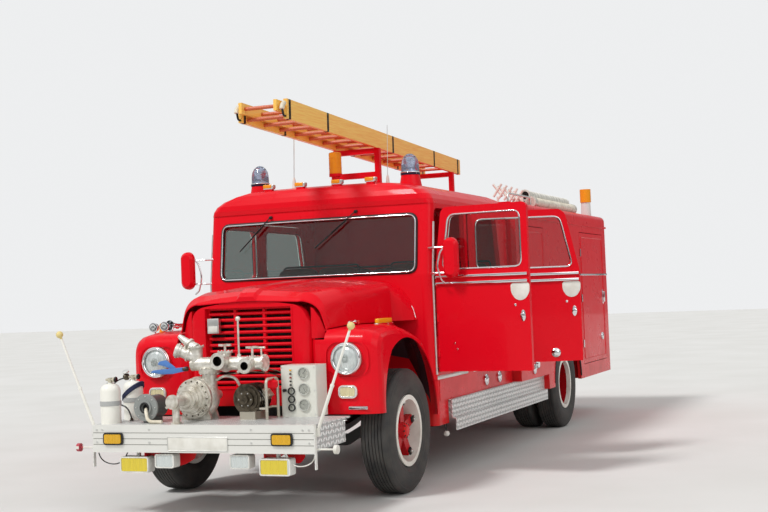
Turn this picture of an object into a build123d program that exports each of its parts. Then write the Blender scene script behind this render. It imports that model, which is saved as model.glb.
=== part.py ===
# Bonneted crew-cab fire engine with a pump platform ahead of its grille.
# Millimetres. +X is forward, +Y is the vehicle's left and the floor is z = 0.
# Heights and widths are measured from the floor and from the vehicle's centre line,
# lengths from the front axle. The whole vehicle stands centred on the origin.
import os
from math import cos, radians, sin

from build123d import *

os.makedirs("parts", exist_ok=True)

# Where the front axle and the centre line stand, so that the outline is centred.
AXLE_X = 2920.0
LINE_Y = -350.0

# Running gear
WHEELBASE = 4900.0
TYRE_R = 500.0
TYRE_HALF = 132.0
RIM_R = 266.0
FRONT_TYRE_Y = 990.0
REAR_TYRE_Y = (720.0, 1020.0)
KINGPIN_Y = 780.0
STUB_R = 30.0
SPINDLE_R = 40.0
RUN_GAP = 0.4

# Frame
RAIL_Y = 430.0
RAIL_W = 80.0
RAIL_LOW, RAIL_TOP = 600.0, 820.0
FRAME_REAR, FRAME_FRONT = -6950.0, 530.0

# Pump platform
DECK_TOP = 696.0
DECK_HALF = 930.0
DECK_REAR, DECK_FRONT = 780.0, 1430.0
BOARD_LOW = 490.0

# Bonnet, wings and nose
NOSE_X = 620.0
WING_IN, WING_OUT = 535.0, 1110.0
WING_SKIN = 10.0
BONNET_LOW = 1372.0
BONNET_REAR = -480.0
GRILLE_HALF = 385.0
GRILLE_LOW, GRILLE_TOP = 900.0, 1540.0
LAMP_Y, LAMP_Z = 850.0, 1120.0

# Cab
CAB_HALF = 1090.0
CAB_WALL = 45.0
CAB_LOW, WAIST, EAVE, ROOF_TOP = 850.0, 1780.0, 2380.0, 2600.0
CAB_FRONT, CAB_REAR = -640.0, -2950.0
DOOR_LOW, DOOR_TOP = 920.0, 2330.0
DOOR_T = 48.0
DOOR_GAP = 8.0
WINDOW_R = 62.0
GLASS_CENTRE = (0, 2036)
GLASS_SIZE = (1900, 500)
GLASS_R = 70.0

# Rear body
BODY_FRONT, BODY_REAR = -2985.0, -7100.0
BODY_HALF = 1180.0
BODY_LOW, BODY_TOP = 500.0, 2500.0
BODY_WALL = 40.0
# running boards' rear end and top
BOARD_REAR, BOARD_TOP = -4050.0, 660.0
BODY_FLOOR = 1100.0
ARCH_R = 610.0
HITCH_R = 16.0

LOW = (Align.CENTER, Align.CENTER, Align.MIN)


def at(x, y, z):
    return Vector(AXLE_X + x, LINE_Y + y, z)


def level(z):
    """Plan plane at height z: x forward, y to the left."""
    return Plane(origin=at(0, 0, z))


def station(x):
    """Cross-section plane at length x: its x to the left, its y up, facing forward."""
    return Plane(origin=at(x, 0, 0), x_dir=(0, 1, 0), z_dir=(1, 0, 0))


def side(y):
    """Side-view plane at width y: its x forward, its y up, facing right."""
    return Plane(origin=at(0, y, 0), x_dir=(1, 0, 0), z_dir=(0, -1, 0))


def door_plane(hinge_x, hinge_y, angle):
    """Outer face of a left door: x from the hinge to the free edge, y up, facing out."""
    turn = radians(angle)
    return Plane(
        origin=at(hinge_x, hinge_y, 0),
        x_dir=(-cos(turn), sin(turn), 0),
        z_dir=(sin(turn), cos(turn), 0),
    )


# Frame and running gear
with BuildPart() as chassis_frame:
    with BuildSketch(station(FRAME_REAR)):
        for hand in (-1, 1):
            with Locations((hand * RAIL_Y, (RAIL_LOW + RAIL_TOP) / 2)):
                Rectangle(RAIL_W, RAIL_TOP - RAIL_LOW)
            with Locations((hand * (RAIL_Y - 8), (RAIL_LOW + RAIL_TOP) / 2)):
                Rectangle(RAIL_W - 16, RAIL_TOP - RAIL_LOW - 16, mode=Mode.SUBTRACT)
    extrude(amount=FRAME_FRONT - FRAME_REAR)
    # cross members: length along the frame
    for x, z in ((720, 640), (-780, 745), (-2400, 745), (-4000, 745), (-5800, 745), (-6920, 745)):
        with Locations(at(x, 0, z)):
            Box(60, 2 * RAIL_Y + 60, 70)
    # lower front extension that carries the platform
    for hand in (-1, 1):
        with BuildSketch(side(hand * RAIL_Y + RAIL_W / 2)):
            with BuildLine():
                Polyline((480, 600), (640, 600), (760, 500), (1380, 500), (1380, 680),
                         (480, 680), close=True)
            make_face()
        extrude(amount=RAIL_W)
chassis_frame.part.label = "chassis_frame"
export_step(chassis_frame.part, "parts/chassis_frame.step")

with BuildPart() as engine:
    with Locations(at(-80, 0, 845)):
        Box(1000, 620, 500, align=LOW)
    with Locations(at(-80, 0, 560)):
        Box(1000, 420, 290, align=LOW)
    with Locations(at(480, 0, 850)):
        Box(90, 740, 620, align=LOW)
    # fan hub, engine feet on the rails, radiator feet
    with Locations(at(425, 0, 1100)):
        Cylinder(40, 30, rotation=(0, 90, 0))
    for hand in (-1, 1):
        with Locations(at(250, hand * 340, RAIL_TOP), at(-400, hand * 340, RAIL_TOP)):
            Box(120, 140, 25, align=LOW)
        with Locations(at(475, hand * 375, RAIL_TOP)):
            Box(90, 60, 30, align=LOW)
engine.part.label = "engine"
export_step(engine.part, "parts/engine.step")

with BuildPart() as leaf_springs:
    # axle length, half span, height of the pack's underside at the axle and at its ends, thickness
    for axle_x, half, low, end_low, thick in (
        (0, 620, 470, 565, 54),
        (-WHEELBASE, 700, 560, 574, 26),
    ):
        for hand in (-1, 1):
            with BuildSketch(side(hand * RAIL_Y + 35)):
                with BuildLine():
                    ThreePointArc((axle_x - half, end_low), (axle_x, low), (axle_x + half, end_low))
                    Line((axle_x + half, end_low), (axle_x + half, 600))
                    Line((axle_x + half, 600), (axle_x + half - 50, 600))
                    ThreePointArc((axle_x + half - 50, end_low + 18), (axle_x, low + thick),
                                  (axle_x - half + 50, end_low + 18))
                    Line((axle_x + half - 50, 600), (axle_x + half - 50, end_low + 18))
                    Line((axle_x - half + 50, end_low + 18), (axle_x - half + 50, 600))
                    Line((axle_x - half + 50, 600), (axle_x - half, 600))
                    Line((axle_x - half, 600), (axle_x - half, end_low))
                make_face()
            extrude(amount=70)
leaf_springs.part.label = "leaf_springs"
export_step(leaf_springs.part, "parts/leaf_springs.step")

with BuildPart() as front_axle:
    with BuildSketch(station(-38)):
        with BuildLine():
            Polyline((-780, 542), (-690, 542), (-560, 470), (560, 470), (690, 542), (780, 542),
                     (780, 458), (690, 458), (560, 380), (-560, 380), (-690, 458), (-780, 458),
                     close=True)
        make_face()
    extrude(amount=76)
    for hand in (-1, 1):
        with Locations(at(0, hand * KINGPIN_Y, 458)):
            Cylinder(42, 84, align=LOW)
    for hand in (-1, 1):
        with Locations(at(0, hand * KINGPIN_Y, 500)):
            Cylinder(18 + RUN_GAP, 200, mode=Mode.SUBTRACT)
front_axle.part.label = "front_axle"
export_step(front_axle.part, "parts/front_axle.step")

with BuildPart() as rear_axle:
    with Locations(at(-WHEELBASE, 0, TYRE_R)):
        Cylinder(60, 2 * 560, rotation=(90, 0, 0))
        Cylinder(SPINDLE_R, 2 * 985, rotation=(90, 0, 0))
    with BuildSketch(station(-WHEELBASE)):
        with BuildLine():
            Polyline((-90, 500), (-90, 640), (-50, 690), (50, 690), (90, 640), (90, 500), close=True)
        make_face()
    revolve(axis=Axis(at(-WHEELBASE, 0, TYRE_R), (0, 1, 0)))
    with Locations(at(-WHEELBASE + 260, 0, TYRE_R)):
        Cylinder(75, 180, rotation=(0, 90, 0))
rear_axle.part.label = "rear_axle"
export_step(rear_axle.part, "parts/rear_axle.step")

with BuildPart() as driveshaft:
    with BuildLine(side(0)) as shaft_line:
        Line((-4600, 504), (-540, 601))
    with BuildSketch(Plane(origin=shaft_line.line @ 0, z_dir=shaft_line.line % 0)):
        Circle(42)
    sweep(path=shaft_line.line)
    # its ends meet the rear axle's nose and the back of the engine
    split(bisect_by=station(-4550), keep=Keep.TOP)
    split(bisect_by=station(-580), keep=Keep.BOTTOM)
driveshaft.part.label = "driveshaft"
export_step(driveshaft.part, "parts/driveshaft.step")

for name, hand in (("left", 1), ("right", -1)):
    with BuildPart() as knuckle:
        with Locations(at(0, KINGPIN_Y, 420)):
            Cylinder(18, 160, align=LOW)
        for low in (420, 550):
            with BuildSketch(level(low)):
                with Locations((0, KINGPIN_Y)):
                    Circle(38)
                with Locations((0, KINGPIN_Y + 30)):
                    Rectangle(70, 60)
            extrude(amount=30)
        with Locations(at(0, 834, 500)):
            Box(110, 16, 160)
        with Locations(at(0, 846, 500)):
            Cylinder(180, 8, rotation=(90, 0, 0))
            Cylinder(STUB_R, 8, rotation=(90, 0, 0))
        with BuildSketch(side(1058)):
            with Locations((0, TYRE_R)):
                Circle(STUB_R)
        extrude(amount=1058 - 842)
        if hand < 0:
            mirror(about=side(0), mode=Mode.REPLACE)
    knuckle.part.label = f"knuckle_{name}"
    export_step(knuckle.part, f"parts/knuckle_{name}.step")

# tyre section, half: width from the tyre's middle, radius
TYRE_SECTION = ((94, 268), (94, 292), (TYRE_HALF, 365), (120, 462), (86, TYRE_R))
for name, hand in (("left", 1), ("right", -1)):
    for axle, x, centres in (("front", 0, (FRONT_TYRE_Y,)), ("rear", -WHEELBASE, REAR_TYRE_Y)):
        with BuildPart() as tyre:
            for y in centres:
                with BuildSketch(station(x)):
                    with BuildLine():
                        Polyline(*[(hand * y + w, TYRE_R + r) for w, r in TYRE_SECTION],
                                 *[(hand * y - w, TYRE_R + r) for w, r in reversed(TYRE_SECTION)],
                                 close=True)
                    make_face()
                revolve(axis=Axis(at(x, 0, TYRE_R), (0, 1, 0)))
        tyre.part.label = f"tyre_{axle}_{name}"
        export_step(tyre.part, f"parts/tyre_{axle}_{name}.step")

# rim section, whole: width from the rim's middle, radius
RIM_SECTION = ((-110, 286), (-97, 286), (-97, RIM_R), (97, RIM_R), (97, 286), (110, 286),
               (110, 250), (-110, 250))
# axle, its length, rim middles, spoke middle and thickness, brake drum's ends, hub's outer end, bore
WHEELS = (
    ("front", 0, (FRONT_TYRE_Y,), 1010, 60, 856, 950, 1075, STUB_R, 1062),
    ("rear", -WHEELBASE, REAR_TYRE_Y, 870, 70, 585, 835, 1005, SPINDLE_R, 990),
)
for name, hand in (("left", 1), ("right", -1)):
    for axle, x, rims, spoke_y, spoke_t, drum_in, drum_out, hub_out, bore, bore_end in WHEELS:
        spin = Axis(at(x, 0, TYRE_R), (0, 1, 0))
        with BuildPart() as wheel:
            for y in rims:
                with BuildSketch(station(x)):
                    with BuildLine():
                        Polyline(*[(y + w, TYRE_R + r) for w, r in RIM_SECTION], close=True)
                    make_face()
                revolve(axis=spin)
            with BuildSketch(station(x)):
                with BuildLine():
                    Polyline((drum_in, TYRE_R), (drum_in, TYRE_R + 190), (drum_out, TYRE_R + 190),
                             (drum_out, TYRE_R + 110), (hub_out - 60, TYRE_R + 80),
                             (hub_out, TYRE_R + 55), (hub_out, TYRE_R), close=True)
                make_face()
            revolve(axis=spin)
            with BuildSketch(side(spoke_y + spoke_t / 2)):
                with Locations((x, TYRE_R)):
                    with PolarLocations(160, 5, start_angle=90):
                        Rectangle(190, 76)
            extrude(amount=spoke_t)
            if len(rims) > 1:
                with BuildSketch(station(x)):
                    with BuildLine():
                        Polyline((rims[0], TYRE_R + 250), (rims[0], TYRE_R + 262),
                                 (rims[1], TYRE_R + 262), (rims[1], TYRE_R + 250), close=True)
                    make_face()
                revolve(axis=spin)
            with BuildSketch(side(bore_end)):
                with Locations((x, TYRE_R)):
                    Circle(bore + RUN_GAP)
            extrude(amount=bore_end - drum_in + 5, mode=Mode.SUBTRACT)
            if hand < 0:
                mirror(about=side(0), mode=Mode.REPLACE)
        wheel.part.label = f"wheel_{axle}_{name}"
        export_step(wheel.part, f"parts/wheel_{axle}_{name}.step")

with BuildPart() as exhaust:
    with BuildLine() as pipe_line:
        FilletPolyline(at(-580, 150, 610), at(-900, 150, 520), at(-1350, 640, 520),
                       at(-2880, 640, 520), at(-2880, 1080, 520), radius=90)
    with BuildSketch(Plane(origin=pipe_line.wires()[0] @ 0, z_dir=pipe_line.wires()[0] % 0)):
        Circle(32)
    sweep(path=pipe_line.wires()[0])
    split(bisect_by=station(-580), keep=Keep.BOTTOM)
    # silencer and its two hangers on the rail
    with BuildSketch(station(-2300)):
        with Locations((640, 520)):
            Circle(95)
    extrude(amount=800)
    for x in (-2200, -1600):
        with Locations(at(x, (RAIL_Y + RAIL_W / 2 + 640) / 2, 605)):
            Box(40, 640 - RAIL_Y - RAIL_W / 2, 25, align=LOW)
exhaust.part.label = "exhaust"
export_step(exhaust.part, "parts/exhaust.step")

# the fuel tank hangs against the right rail
with BuildPart() as fuel_tank:
    with BuildSketch(station(-2900)):
        with Locations((-RAIL_Y - RAIL_W / 2 - 200, 590)):
            RectangleRounded(400, 340, 60)
    extrude(amount=1000)
fuel_tank.part.label = "fuel_tank"
export_step(fuel_tank.part, "parts/fuel_tank.step")

# Pump platform and what stands on it
with BuildPart() as front_platform:
    with BuildSketch(level(DECK_TOP - 12)):
        with Locations(((DECK_REAR + DECK_FRONT) / 2, 0)):
            Rectangle(DECK_FRONT - DECK_REAR, 2 * DECK_HALF)
    extrude(amount=12)
    # front board with its three shallow grooves
    with BuildSketch(side(DECK_HALF)):
        with BuildLine():
            Polyline((DECK_FRONT - 34, BOARD_LOW), (DECK_FRONT, BOARD_LOW), (DECK_FRONT, DECK_TOP),
                     (DECK_FRONT - 34, DECK_TOP), close=True)
        make_face()
        with Locations((DECK_FRONT, 548), (DECK_FRONT, 592), (DECK_FRONT, 636)):
            Rectangle(8, 7, mode=Mode.SUBTRACT)
    extrude(amount=2 * DECK_HALF)
    for hand in (-1, 1):
        with BuildSketch(side(hand * (DECK_HALF - 4) + 4)):
            with BuildLine():
                Polyline((880, 515), (DECK_FRONT - 20, 500), (DECK_FRONT - 20, DECK_TOP),
                         (880, DECK_TOP), close=True)
            make_face()
        extrude(amount=8)
        with Locations(at(1150, hand * RAIL_Y, 680)):
            Box(460, 120, 10, align=LOW)
        # strap at the board's end, hanging below it
        with Locations(at(DECK_FRONT - 16, hand * (DECK_HALF + 4), 378)):
            Box(30, 8, 310, align=LOW)
front_platform.part.label = "front_platform"
export_step(front_platform.part, "parts/front_platform.step")

# the pump's shaft runs forward; its delivery manifold lies across above it
PUMP_Y, PUMP_Z = -240.0, 862.0
MANIFOLD_X, MANIFOLD_Z = 1000.0, 1120.0
FLANGE_Z = 1064.0
# rings of the suction cover: length of the front edge, radius
COVER_RINGS = ((1112, 140), (1134, 124), (1156, 108), (1178, 92), (1200, 76), (1225, 60))
with BuildPart() as pump_casing:
    with BuildSketch(side(PUMP_Y)):
        with BuildLine():
            Polyline((700, PUMP_Z), (700, PUMP_Z + 36), (850, PUMP_Z + 36), (850, PUMP_Z + 84),
                     (905, PUMP_Z + 96))
            # the volute's swell
            ThreePointArc((905, PUMP_Z + 96), (985, PUMP_Z + 164), (1065, PUMP_Z + 130))
            Polyline((1065, PUMP_Z + 130), (1065, PUMP_Z + 152), (1090, PUMP_Z + 152),
                     (1090, PUMP_Z + 140))
            x, radius = 1090, 140
            for ring_x, ring_radius in COVER_RINGS:
                if ring_radius != radius:
                    Line((x, PUMP_Z + radius), (x, PUMP_Z + ring_radius))
                Line((x, PUMP_Z + ring_radius), (ring_x, PUMP_Z + ring_radius))
                x, radius = ring_x, ring_radius
            # suction nose and its cap
            Polyline((x, PUMP_Z + radius), (x, PUMP_Z + 42), (1385, PUMP_Z + 42),
                     (1385, PUMP_Z + 54), (1408, PUMP_Z + 54), (1408, PUMP_Z), (700, PUMP_Z))
        make_face()
    revolve(axis=Axis(at(0, PUMP_Y, PUMP_Z), (1, 0, 0)))
    # tangential delivery neck up to its flange
    with BuildSketch(level(PUMP_Z)):
        with Locations((985, PUMP_Y + 88)):
            Circle(58)
    extrude(amount=FLANGE_Z - 16 - PUMP_Z)
    with BuildSketch(level(FLANGE_Z - 16)):
        with Locations((985, PUMP_Y + 88)):
            Circle(82)
    extrude(amount=16)
    # two saddle feet, and the leg under the nose with its foot flange
    for x in (930, 1040):
        with BuildSketch(station(x)):
            with BuildLine():
                Polyline((PUMP_Y - 130, DECK_TOP), (PUMP_Y + 130, DECK_TOP), (PUMP_Y + 130, DECK_TOP + 16),
                         (PUMP_Y + 92, PUMP_Z - 40), (PUMP_Y - 92, PUMP_Z - 40),
                         (PUMP_Y - 130, DECK_TOP + 16), close=True)
            make_face()
        extrude(amount=22)
    with Locations(at(1352, PUMP_Y, DECK_TOP)):
        Cylinder(28, PUMP_Z - DECK_TOP, align=LOW)
        Cylinder(40, 14, align=LOW)
pump_casing.part.label = "pump_casing"
export_step(pump_casing.part, "parts/pump_casing.step")

# forward outlets: width, height, radius at the manifold, at the mouth, of the bore, reach
OUTLETS = ((0, 1145, 66, 52, 38, 1130), (235, 1106, 56, 46, 32, 1140))
with BuildPart() as pump_manifold:
    # foot flange on the pump's neck, and the cross pipe with its end cap
    with BuildSketch(level(FLANGE_Z)):
        with Locations((985, PUMP_Y + 88)):
            Circle(82)
    extrude(amount=16)
    with BuildSketch(level(FLANGE_Z)):
        with Locations((985, PUMP_Y + 88)):
            Circle(56)
    extrude(amount=MANIFOLD_Z - FLANGE_Z)
    with BuildSketch(side(330)):
        with Locations((MANIFOLD_X, MANIFOLD_Z)):
            Circle(52)
    extrude(amount=620)
    with BuildSketch(side(345)):
        with Locations((MANIFOLD_X, MANIFOLD_Z)):
            Circle(66)
    extrude(amount=18)
    for y, z, root, mouth, bore, reach in OUTLETS:
        with BuildSketch(station(MANIFOLD_X)):
            with Locations((y, MANIFOLD_Z)):
                Circle(root)
        with BuildSketch(station(reach - 34)):
            with Locations((y, z)):
                Circle(mouth)
        loft()
        for x, radius in ((reach - 34, mouth + 4), (reach - 18, mouth + 12)):
            with BuildSketch(station(x)):
                with Locations((y, z)):
                    Circle(radius)
            extrude(amount=reach - x)
    for y, z, root, mouth, bore, reach in OUTLETS:
        with BuildSketch(station(reach - 70)):
            with Locations((y, z)):
                Circle(bore)
        extrude(amount=70, mode=Mode.SUBTRACT)
    # valve bonnets above the outlets, the right one drawn out to a branch: width, top, radius
    for y, top, radius in ((0, 1216, 46), (235, 1170, 34), (-255, 1262, 50)):
        with BuildSketch(level(MANIFOLD_Z)):
            with Locations((MANIFOLD_X, y)):
                Circle(radius)
        extrude(amount=top - MANIFOLD_Z)
        with BuildSketch(level(top - 14)):
            with Locations((MANIFOLD_X, y)):
                Circle(radius + 14)
        extrude(amount=14)
    # spindles with cross handles: width, foot, top
    for y, low, top in ((0, 1216, 1262), (235, 1170, 1240)):
        with Locations(at(MANIFOLD_X, y, low)):
            Cylinder(10, top - low, align=LOW)
        with Locations(at(MANIFOLD_X, y, top)):
            Box(18, 104, 16)
            Box(104, 18, 16)
    # side branch with its open coupling, and the tapered jet above it
    branch = Plane(origin=at(MANIFOLD_X, -255, 1175), x_dir=(0, 0, 1), z_dir=(50, -156, 62))
    with BuildSketch(branch):
        Circle(50)
    with BuildSketch(branch.offset(128)):
        Circle(42)
    loft()
    for start, radius, reach in ((60, 58, 16), (128, 52, 44), (146, 60, 14)):
        with BuildSketch(branch.offset(start)):
            Circle(radius)
        extrude(amount=reach)
    with BuildSketch(branch.offset(112)):
        Circle(38)
    extrude(amount=60, mode=Mode.SUBTRACT)
    jet = Plane(origin=at(MANIFOLD_X, -262, 1235), x_dir=(0, 0, 1), z_dir=(0, -134, 102))
    with BuildSketch(jet):
        Circle(50)
    with BuildSketch(jet.offset(176)):
        Circle(17)
    loft()
    with BuildSketch(jet.offset(60)):
        Circle(50)
    extrude(amount=16)
    # valve rod with its ball
    with Locations(at(MANIFOLD_X, 120, MANIFOLD_Z)):
        Cylinder(16, 70, align=LOW)
        Cylinder(8, 335, align=LOW)
    with Locations(at(MANIFOLD_X, 120, MANIFOLD_Z + 340)):
        Sphere(20)
pump_manifold.part.label = "pump_manifold"
export_step(pump_manifold.part, "parts/pump_manifold.step")

with BuildPart() as priming_unit:
    # small engine that primes the pump: ribbed drum, end bell, crankcase and frame tube
    for low, high, radius in ((850, 1060, 96), (1060, 1082, 66), (1082, 1104, 34)):
        with BuildSketch(station(low)):
            with Locations((200, 850)):
                Circle(radius)
        extrude(amount=high - low)
    for x in range(868, 1050, 34):
        with BuildSketch(station(x)):
            with Locations((200, 850)):
                Circle(116)
        extrude(amount=12)
    with Locations(at(955, 200, DECK_TOP)):
        Box(190, 130, 100, align=LOW)
    # ribbed cylinder that leans out to the left
    lean = Plane(origin=at(955, 240, 850), x_dir=(1, 0, 0), z_dir=(0, 0.8, 0.6))
    with BuildSketch(lean):
        Circle(46)
    extrude(amount=108)
    for d in (60, 78, 96):
        with BuildSketch(lean.offset(d)):
            Rectangle(120, 110)
        extrude(amount=8)
    # frame tube around it
    with BuildLine() as frame_tube:
        FilletPolyline(at(870, 372, DECK_TOP), at(870, 372, 1000), at(1060, 372, 1000),
                       at(1060, 372, DECK_TOP), radius=40)
    with BuildSketch(Plane(origin=at(870, 372, DECK_TOP), z_dir=(0, 0, 1))):
        RegularPolygon(12, 8)
    sweep(path=frame_tube.wires()[0])
    with Locations(at(870, 345, 780), at(1060, 345, 780)):
        Box(20, 60, 14)
    with Locations(at(965, 300, 780)):
        Box(210, 60, 14)
priming_unit.part.label = "priming_unit"
export_step(priming_unit.part, "parts/priming_unit.step")

# gauges: width, height, outer radius of the rim
GAUGES = ((588, 1029, 46), (588, 908, 46), (588, 788, 46), (482, 893, 29), (482, 831, 29),
          (482, 767, 29))
BOX_FACE = 850.0
with BuildPart() as gauge_box:
    with BuildSketch(level(DECK_TOP)):
        with Locations((BOX_FACE - 100, 540)):
            Rectangle(200, 300)
    extrude(amount=392)
    fillet(gauge_box.edges().filter_by(Axis.Z), 12)
    for y, z, radius in GAUGES:
        with BuildSketch(station(BOX_FACE)):
            with Locations((y, z)):
                Circle(radius)
                Circle(radius - 7, mode=Mode.SUBTRACT)
        extrude(amount=14)
    # row of small lamps and the knob beside them
    for z in (1052, 1024, 996, 968, 940):
        with Locations(at(BOX_FACE + 4, 480, z)):
            Box(8, 22, 16)
    with BuildSketch(station(BOX_FACE)):
        with Locations((430, 899)):
            Circle(12)
    extrude(amount=16)
gauge_box.part.label = "gauge_box"
export_step(gauge_box.part, "parts/gauge_box.step")

with BuildPart() as gas_cylinders:
    for x, y in ((1300, -850), (985, -850)):
        with BuildSketch(side(y)):
            with BuildLine():
                Polyline((x, DECK_TOP), (x + 78, DECK_TOP), (x + 78, 940))
                ThreePointArc((x + 78, 940), (x + 60, 985), (x + 18, 1000))
                Polyline((x + 18, 1000), (x + 18, 1045), (x, 1045), (x, DECK_TOP))
            make_face()
        revolve(axis=Axis(at(x, y, 0), (0, 0, 1)))
        with Locations(at(x, y, 1030)):
            Cylinder(9, 70, rotation=(90, 0, 0))
        with Locations(at(x, y + 38, 1030)):
            Cylinder(20, 14, rotation=(90, 0, 0))
        # strap round the bottle and its bracket on the deck
        with Locations(at(x, y, 850)):
            Cylinder(82, 34)
        with Locations(at(x - 84, y, DECK_TOP)):
            Box(16, 50, 176, align=LOW)
gas_cylinders.part.label = "gas_cylinders"
export_step(gas_cylinders.part, "parts/gas_cylinders.step")

with BuildPart() as hose_drum:
    # housing, end disc, hub and the hub's socket: length of the two ends, radius
    for low, high, radius in ((1100, 1270, 88), (1270, 1286, 104), (1286, 1300, 56)):
        with BuildSketch(station(low)):
            with Locations((-548, 812)):
                Circle(radius)
        extrude(amount=high - low)
    with BuildSketch(station(1240)):
        with Locations((-548, 812)):
            Circle(30)
    extrude(amount=70, mode=Mode.SUBTRACT)
    with Locations(at(1185, -548, DECK_TOP)):
        Box(130, 90, 60, align=LOW)
hose_drum.part.label = "hose_drum"
export_step(hose_drum.part, "parts/hose_drum.step")

with BuildPart() as marker_poles:
    for hand in (-1, 1):
        foot = (1380, hand * 945, 660)
        tip = (1392, hand * 1235, 1390)
        with BuildLine() as pole_line:
            Line(at(*foot), at(*tip))
        with BuildSketch(Plane(origin=pole_line.line @ 0, z_dir=pole_line.line % 0)):
            RegularPolygon(10, 8)
        sweep(path=pole_line.line)
        with Locations(at(*tip)):
            Sphere(28)
        with Locations(at(1380, hand * 941, 640)):
            Box(30, 22, 60)
        with Locations(at(1390, hand * 1007.5, 520)):
            Cylinder(7, 155, rotation=(90, 0, 0))
        with Locations(at(1390, hand * 1085, 520)):
            Cylinder(32, 26, rotation=(90, 0, 0))
marker_poles.part.label = "marker_poles"
export_step(marker_poles.part, "parts/marker_poles.step")

# Nose, bonnet and wings
def cab_outline(lean, inset, rear_inset, nose=0):
    """Plan of the cab with a bowed front, which nose draws forward, and rounded corners."""
    half = CAB_HALF - inset
    front = CAB_FRONT - lean - inset + nose
    corner = CAB_FRONT - lean - inset - 98
    rear = CAB_REAR + rear_inset
    ThreePointArc((front - 42, -half + 90), (front, 0), (front - 42, half - 90))
    ThreePointArc((front - 42, half - 90), ((front - 58 + corner + 40) / 2, half - 26), (corner, half))
    Polyline((corner, half), (rear, half), (rear, -half), (corner, -half))
    ThreePointArc((corner, -half), ((front - 58 + corner + 40) / 2, -half + 26),
                  (front - 42, -half + 90))


# plan of the cab's foot, where the wings and the cowl meet it
with BuildSketch(level(400)) as cab_plan:
    with BuildLine():
        cab_outline(0, 0, 0)
    make_face()

# wing sections: width, how far the front face stands back, drop of the outline, top at mid
# length, top at the rear, middle of the tail's curve
WING = (
    (WING_IN, 60, 0, 1366, 1358, -648, 1110),
    (572, 24, 0, 1366, 1358, -648, 1108),
    (625, 2, 0, 1366, 1356, -648, 1105),
    (870, 0, 0, 1366, 1345, -645, 1090),
    (980, 8, 6, 1362, 1282, -612, 985),
    (1045, 26, 24, 1360, 1256, -600, 950),
    (1085, 50, 50, 1358, 1244, -596, 940),
    (1104, 74, 76, 1357, 1240, -594, 936),
    (WING_OUT, 98, 100, 1356, 1238, -592, 934),
)
RECESS = (842, 1112)
with BuildPart() as wings:
    # the second pass hollows the first
    for skin, mode in ((0, Mode.ADD), (WING_SKIN, Mode.SUBTRACT)):
        for y, back, drop, mid_top, rear_top, tail_x, tail_z in WING:
            front = NOSE_X - back - skin
            d = drop + skin
            if skin:
                y = max(y - skin, WING_IN - 1)
            with BuildSketch(side(y)):
                with BuildLine():
                    Line((-702 + d / 4, 560 - skin), (front, 560 - skin))
                    Line((front, 560 - skin), (front, 1235 - d))
                    ThreePointArc((front, 1235 - d), (front - 24, 1306 - d), (500 - skin, 1347 - d))
                    ThreePointArc((500 - skin, 1347 - d), (60, mid_top - d), (-330, rear_top - d / 2))
                    ThreePointArc((-330, rear_top - d / 2), (tail_x + d / 3, tail_z),
                                  (-702 + d / 4, 560 - skin))
                make_face()
        loft(ruled=True, mode=mode)
    # pressed-in panel round the headlamp
    with BuildSketch(station(NOSE_X - 30)):
        with Locations(RECESS):
            RectangleRounded(372, 292, 112)
    extrude(amount=24)
    with BuildSketch(station(NOSE_X - 14)):
        with Locations(RECESS):
            RectangleRounded(336, 268, 100)
    extrude(amount=20, mode=Mode.SUBTRACT)
    # cheek that closes the nose beside the grille, under the bonnet's lip
    with BuildSketch(station(500)):
        with BuildLine():
            Polyline((WING_IN + 1, 1280), (634, 1280), (630, 1350), (602, 1436), (556, 1512),
                     (WING_IN + 1, 1526), close=True)
        make_face()
    extrude(amount=75)
    with BuildSketch(level(1270)):
        with BuildLine():
            Polyline((576, WING_IN), (560, 580), (526, 640), (526, 660), (640, 660), (640, WING_IN),
                     close=True)
        make_face()
    extrude(amount=300, mode=Mode.SUBTRACT)
    # wheel arch, open underside behind the front panel, and the cab behind
    with BuildSketch(side(WING_OUT + 5)):
        with BuildLine():
            Line((495, 550), (-664, 550))
            ThreePointArc((-664, 550), (-560, 930), (-330, 1150))
            ThreePointArc((-330, 1150), (20, 1250), (330, 1165))
            ThreePointArc((330, 1165), (455, 960), (495, 700))
            Line((495, 700), (495, 550))
        make_face()
    extrude(amount=200, mode=Mode.SUBTRACT)
    with Locations(at(560, 800, 550)):
        Box(300, 700, 142, align=LOW, mode=Mode.SUBTRACT)
    extrude(cab_plan.sketch, amount=1400, mode=Mode.SUBTRACT)
    mirror(about=side(0))
wings.part.label = "wings"
export_step(wings.part, "parts/wings.step")

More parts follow.
